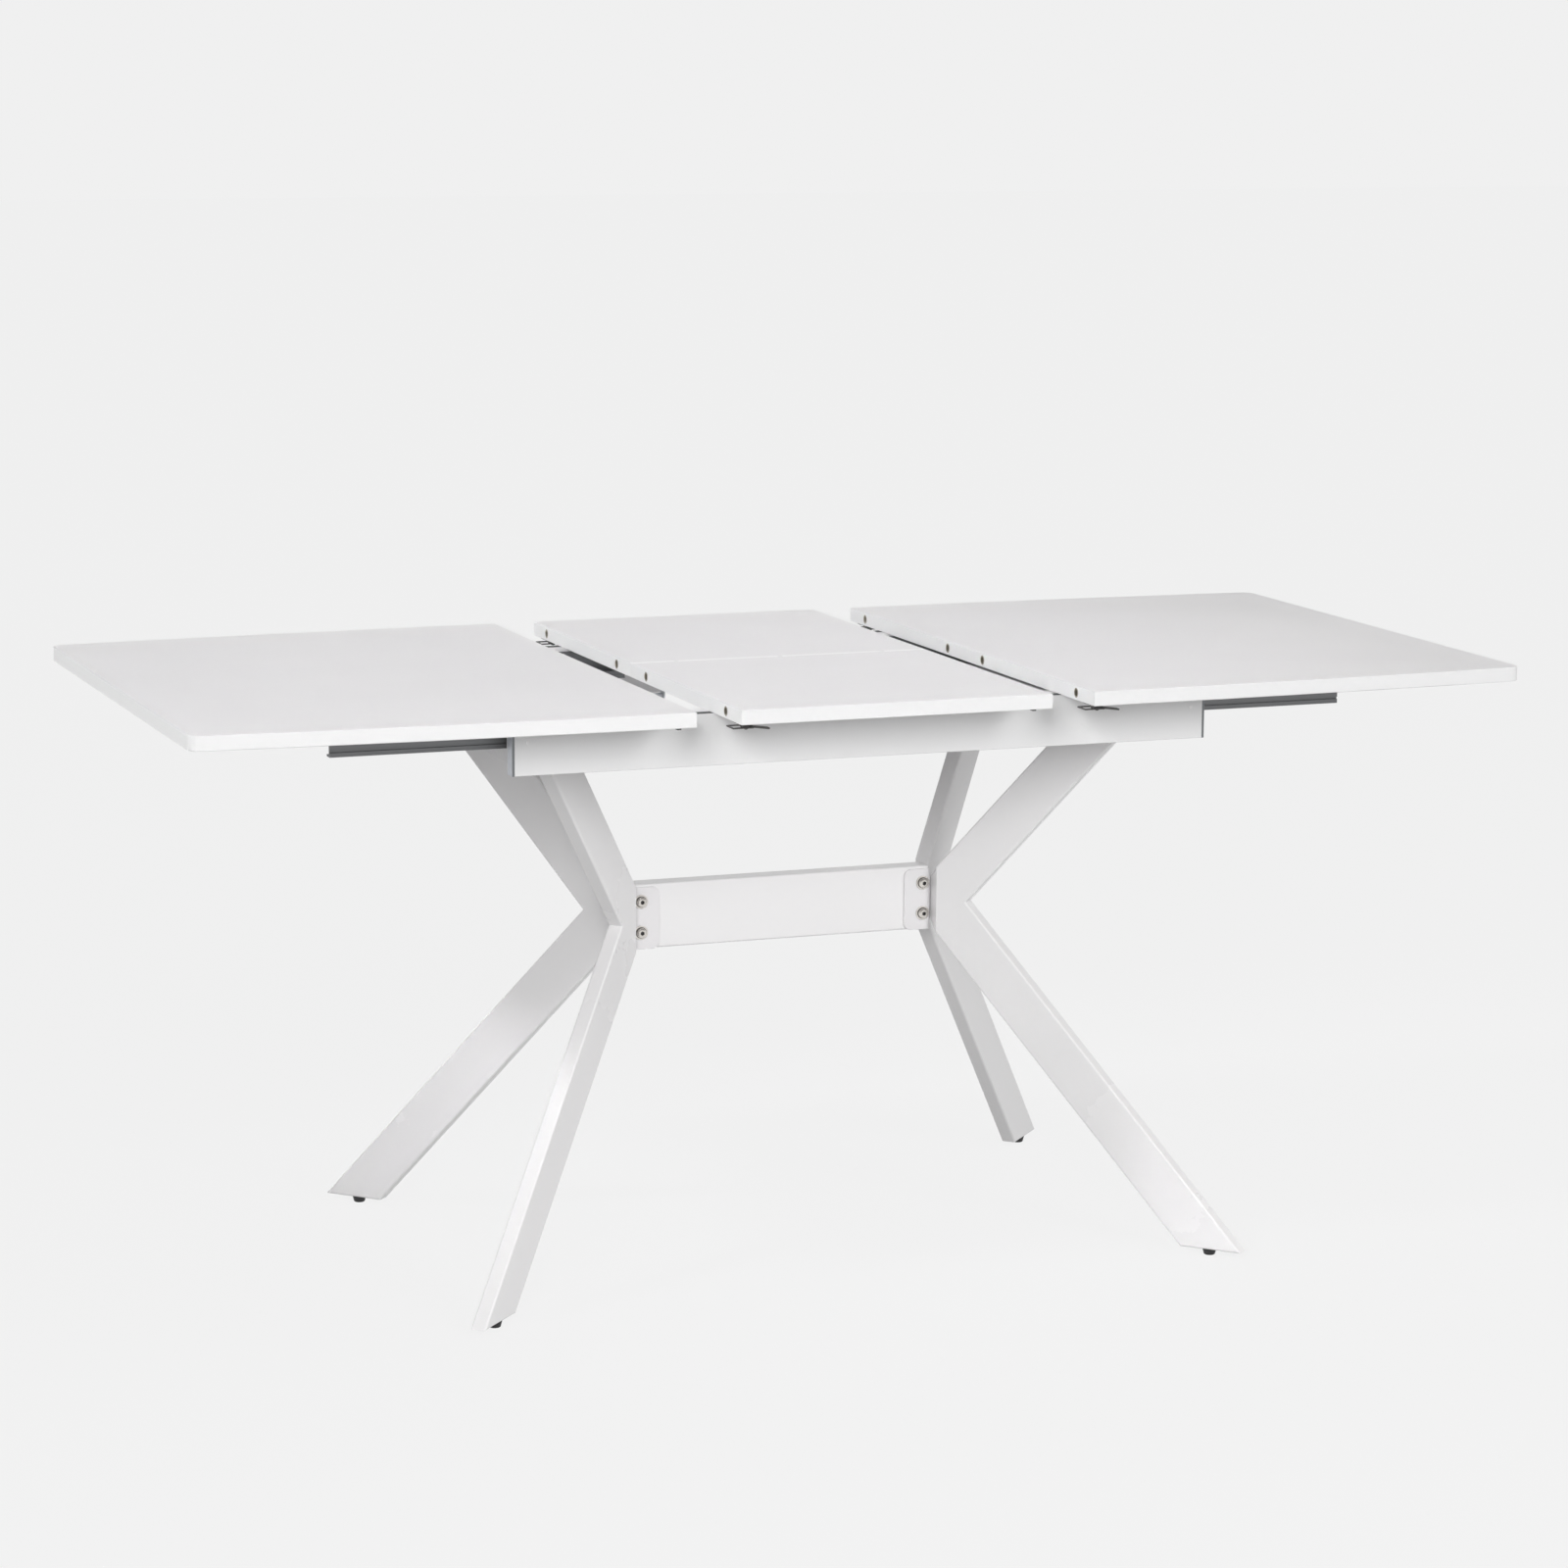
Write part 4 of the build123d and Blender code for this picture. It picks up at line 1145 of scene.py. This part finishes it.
@dataclass
class FrameBraces:
    """Corner braces between the boards across and the battens, with their screws."""

    brace: CornerBrace = field(default_factory=CornerBrace)
    screw: Screw = field(default_factory=Screw)
    screw_out: float = 9.5 * MM
    screw_rise: float = 4.2 * MM
    rail_thickness: float = 18.0 * MM
    end_height: float = 20.0 * MM

    def build(self, shop: Workshop) -> None:
        """Set a brace in each corner.

        Args:
            shop: the workshop.
        """
        corners_at = self._corners()
        braces = [place @ self._turn(sx, sy) for place, sx, sy in corners_at]
        heads = [head for corner in corners_at for head in self._heads(*corner)]
        shop.piece("frame_braces", self.brace.shape, braces, Slot.ZINC, Body.FRAME)
        shop.piece("frame_brace_screws", self.screw.shape, heads, Slot.NICKEL, Body.FRAME)

    def _faces(self) -> list[tuple[float, float]]:
        """The braced faces of the boards across.

        Returns:
            The x of each face, with the way that it looks.
        """
        faces = []
        for board in ("left_cross_board", "right_cross_board"):
            low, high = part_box(board)
            faces += [(low.x, -1.0), (high.x, 1.0)]
        low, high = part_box("well_rails")
        return faces + [(low.x + self.rail_thickness, 1.0), (high.x - self.rail_thickness, -1.0)]

    def _corners(self) -> list[tuple[Matrix, float, float]]:
        """The corners at both ends of the braced faces.

        Returns:
            Each corner's place, with the way that its brace opens along X and Y.
        """
        low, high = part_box("left_cross_board")
        level = low.z + self.end_height / 2
        return [
            (Matrix.Translation((x, y, level)), sx, sy)
            for x, sx in self._faces()
            for y, sy in ((low.y, 1.0), (high.y, -1.0))
        ]

    def _turn(self, sx: float, sy: float) -> Matrix:
        """The turn that opens a brace towards the given signs."""
        quarter = {(1.0, 1.0): 0, (-1.0, 1.0): 1, (-1.0, -1.0): 2, (1.0, -1.0): 3}[(sx, sy)]
        return Matrix.Rotation(quarter * math.pi / 2, 4, "Z")

    def _heads(self, place: Matrix, sx: float, sy: float) -> list[Matrix]:
        """The screws of a brace, two on each arm.

        Args:
            place: the corner's place.
            sx: the way that the brace opens along X.
            sy: the way that the brace opens along Y.

        Returns:
            The screws' places.
        """
        corner = place.to_translation()
        out, plate = self.screw_out, self.brace.plate
        heads = []
        for rise in (-self.screw_rise, self.screw_rise):
            heads.append(facing(corner + Vector((sx * out, sy * plate, rise)), (0.0, sy, 0.0)))
            heads.append(facing(corner + Vector((sx * plate, sy * out, rise)), (sx, 0.0, 0.0)))
        return heads


@dataclass
class PivotScrews:
    """Screws of the plates that the insert tips on."""

    screw: Screw = field(default_factory=Screw)
    plate: float = 2.0 * MM
    plate_width: float = 24.0 * MM
    pin_reach: float = 30.0 * MM
    inset: float = 5.0 * MM
    half_length: float = 20.0 * MM

    def build(self, shop: Workshop) -> None:
        """Set the screws under both plates.

        Args:
            shop: the workshop.
        """
        low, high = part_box("insert_pivot_brackets")
        middle = (low.y + high.y) / 2
        level = high.z - self.plate
        outer = high.x - self.pin_reach
        xs = (outer - self.inset, outer - self.plate_width + self.inset)
        ys = (middle - self.half_length + self.inset, middle + self.half_length - self.inset)
        places = [facing((side * x, y, level), DOWN) for side in SIDES for x in xs for y in ys]
        shop.piece("insert_pivot_screws", self.screw.shape, places, Slot.NICKEL, Body.FRAME)


@dataclass
class ChannelScrews:
    """Flat screws that hold the slide channels to the battens."""

    screw: Screw = field(default_factory=lambda: Screw(head=6.0 * MM, height=1.2 * MM))
    wall: float = 2.0 * MM
    rise: float = 18.0 * MM
    insets: tuple[float, ...] = (20.0 * MM, 100.0 * MM, 200.0 * MM, 290.0 * MM)

    def build(self, shop: Workshop) -> None:
        """Set the screws inside every channel.

        Args:
            shop: the workshop.
        """
        for name, side in zip(("front", "back"), SIDES):
            low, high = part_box(f"{name}_slide_channels")
            web = high.y - self.wall if side > 0 else low.y + self.wall
            xs = [low.x + inset for inset in self.insets] + [high.x - inset for inset in self.insets]
            places = [facing((x, web, low.z + self.rise), (0.0, -side, 0.0)) for x in xs]
            shop.piece(f"{name}_channel_screws", self.screw.shape, places, Slot.NICKEL, Body.FRAME)


@dataclass
class KneeCaps:
    """Plates that close the legs' cut ends beside the knee brackets."""

    cap: EndCap = field(default_factory=EndCap)
    sink: float = 0.15 * MM

    def build(self, shop: Workshop) -> None:
        """Set a plate in each leg.

        Args:
            shop: the workshop.
        """
        mouth = Matrix.Translation((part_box("right_front_leg")[0].x + self.sink, 0.0, 0.0))
        places = [Matrix.Diagonal((sx, sy, 1.0, 1.0)) @ mouth for sx, sy in QUARTERS]
        shop.piece("knee_end_caps", self.cap.shape, places, Slot.POWDER, Body.FRAME)


@dataclass
class LegWelds:
    """Weld beads where the legs meet their top plates."""

    collar: WeldCollar = field(default_factory=WeldCollar)
    reach_x: float = 358.5 * MM
    reach_y: float = 180.7 * MM
    turn: float = 46.16

    def build(self, shop: Workshop) -> None:
        """Set a bead round each leg.

        Args:
            shop: the workshop.
        """
        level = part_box("leg_plates")[0].z
        turn = math.radians(self.turn)
        places = []
        for sx, sy in QUARTERS:
            angle = math.atan2(sy * math.sin(turn), sx * math.cos(turn))
            spot = Matrix.Translation((sx * self.reach_x, sy * self.reach_y, level))
            places.append(spot @ Matrix.Rotation(angle, 4, "Z"))
        shop.piece("leg_welds", self.collar.shape, places, Slot.POWDER, Body.FRAME)


@dataclass(frozen=True)
class SoftPanel:
    """A soft light panel that looks at the table, its angles in degrees and its power in watts."""

    name: str
    turn: float
    rise: float
    power: float
    distance: float = 4.5
    width: float = 1.1
    height: float = 1.9
    aim: Point = (0.0, 0.0, 0.6)
    spread: float = 180.0
    mirrored: bool = True
    lighting: bool = True

    def build(self) -> None:
        """Set the panel."""
        lamp = bpy.data.lights.new(self.name, "AREA")
        lamp.shape = "RECTANGLE"
        lamp.size = self.width
        lamp.size_y = self.height
        lamp.energy = self.power
        lamp.spread = math.radians(self.spread)
        turn, rise = math.radians(self.turn), math.radians(self.rise)
        level = math.cos(rise)
        away = Vector((math.sin(turn) * level, -math.cos(turn) * level, math.sin(rise)))
        place = Matrix.Translation(Vector(self.aim) + away * self.distance)
        panel = bpy.data.objects.new(self.name, lamp)
        panel.matrix_world = place @ away.to_track_quat("Z", "Y").to_matrix().to_4x4()
        panel.visible_camera = False
        panel.visible_glossy = self.mirrored
        panel.visible_diffuse = self.lighting
        bpy.context.scene.collection.objects.link(panel)
        LOG.info("lit %s", self.name)


@dataclass
class Studio:
    """Floor, light and camera."""

    eye: Point = (-2.0015, -5.2595, 1.5680)
    azimuth: float = 20.898
    fall: float = 9.91
    roll: float = 0.386
    focal_px: float = 4561.0
    frame_px: float = 1600.0
    sensor_mm: float = 36.0
    sight: float = 200.0
    pale: float = 0.871
    paint: float = 0.52
    sky: float = 0.41
    floor_half: float = 30.0
    floor_parts: int = 4
    floor_glow: float = 0.90
    floor_light: float = 0.53
    panels: tuple[SoftPanel, ...] = (
        SoftPanel("left_panel", turn=-27.0, rise=20.5, power=73.0, mirrored=False),
        SoftPanel("right_panel", turn=22.0, rise=20.5, power=62.0, mirrored=False),
        SoftPanel(
            "left_side_panel",
            turn=-78.0,
            rise=40.0,
            power=1.85,
            distance=4.0,
            width=1.3,
            height=1.2,
            aim=(-0.33, 0.0, 0.78),
            spread=10.0,
        ),
        SoftPanel("right_side_panel", turn=78.0, rise=40.0, power=12.0, distance=4.0, height=2.0),
        SoftPanel(
            "catch_panel", turn=-12.0, rise=46.0, power=12.0, width=0.7, height=0.7, lighting=False
        ),
    )

    def build(self) -> None:
        """Set the floor, the light and the camera."""
        self._floor()
        self._sky()
        for panel in self.panels:
            panel.build()
        self._camera()

    def _seen(self, tree: Tree) -> Socket:
        """One where a ray comes from the camera, a reflection or a refraction.

        Args:
            tree: the tree under construction.

        Returns:
            The value's socket.
        """
        path = tree.add("LightPath").outputs
        plain = tree.largest(path["Is Camera Ray"], path["Is Glossy Ray"])
        return tree.largest(plain, path["Is Transmission Ray"])

    def _floor(self) -> None:
        """A wide pale floor that keeps a soft shadow."""
        parts = self.floor_parts
        mesh = bmesh.new()
        bmesh.ops.create_grid(mesh, x_segments=parts, y_segments=parts, size=self.floor_half)
        data = bpy.data.meshes.new("floor")
        mesh.to_mesh(data)
        mesh.free()
        floor = bpy.data.objects.new("floor", data)
        bpy.context.scene.collection.objects.link(floor)
        data.materials.append(self._floor_paint())

    def _floor_paint(self) -> bpy.types.Material:
        """Grey paint with a glow, so that it shows as pale as the sky and still takes a shadow.

        Returns:
            The floor's material.
        """
        material = bpy.data.materials.new("pale_floor")
        tree = Tree(material)
        lift_by = self.pale - (1.0 - self.floor_glow) * self.paint * self.floor_light
        paint = tree.add("BsdfDiffuse", {"Color": (self.paint, self.paint, self.paint, 1.0)})
        glow = tree.add("Emission", {"Color": WHITE, "Strength": lift_by / self.floor_glow})
        share = tree.ramp(self._seen(tree), 0.0, 1.0, 0.0, self.floor_glow)
        surface = tree.add("MixShader", {0: share, 1: paint.outputs[0], 2: glow.outputs[0]})
        tree.add("OutputMaterial", {"Surface": surface.outputs[0]})
        return material

    def _sky(self) -> None:
        """An even sky that shows pale behind the table."""
        world = bpy.data.worlds.new("studio")
        bpy.context.scene.world = world
        tree = Tree(world)
        pale = (self.pale, self.pale, self.pale, 1.0)
        light = tree.add("Background", {"Color": WHITE, "Strength": self.sky})
        shown = tree.add("Background", {"Color": pale, "Strength": 1.0})
        sky = tree.add("MixShader", {0: self._seen(tree), 1: light.outputs[0], 2: shown.outputs[0]})
        tree.add("OutputWorld", {"Surface": sky.outputs[0]})

    def _camera(self) -> None:
        """The camera at the photograph's place."""
        turn, fall, roll = (math.radians(angle) for angle in (self.azimuth, self.fall, self.roll))
        level = math.cos(fall)
        ahead = Vector((math.sin(turn) * level, math.cos(turn) * level, -math.sin(fall)))
        right = Vector((math.cos(turn), -math.sin(turn), 0.0))
        up = right.cross(ahead)
        tilted_right = right * math.cos(roll) + up * math.sin(roll)
        tilted_up = up * math.cos(roll) - right * math.sin(roll)
        lens = bpy.data.cameras.new("camera")
        lens.sensor_width = self.sensor_mm
        lens.lens = self.sensor_mm * self.focal_px / self.frame_px
        lens.clip_end = self.sight
        camera = bpy.data.objects.new("camera", lens)
        axes = Matrix((tilted_right, tilted_up, -ahead)).transposed()
        camera.matrix_world = Matrix.Translation(Vector(self.eye)) @ axes.to_4x4()
        bpy.context.scene.collection.objects.link(camera)
        bpy.context.scene.camera = camera


def main() -> None:
    """Load the solids, dress them, add the small pieces and set the studio."""
    logging.basicConfig(level=logging.INFO, format="%(message)s")
    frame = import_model()
    palette = Palette(FINISHES, NODE_FINISHES)
    palette.dress(frame)
    shop = Workshop(palette)
    assemblies = (
        LatchScrews(),
        ApronCaps(),
        StretcherBoltShade(),
        ApronTopStrips(),
        FrameBraces(),
        PivotScrews(),
        ChannelScrews(),
        KneeCaps(),
        LegWelds(),
    )
    for assembly in assemblies:
        assembly.build(shop)
    Studio().build()
    bpy.context.scene.view_settings.view_transform = "Standard"


if __name__ == "__main__":
    main()
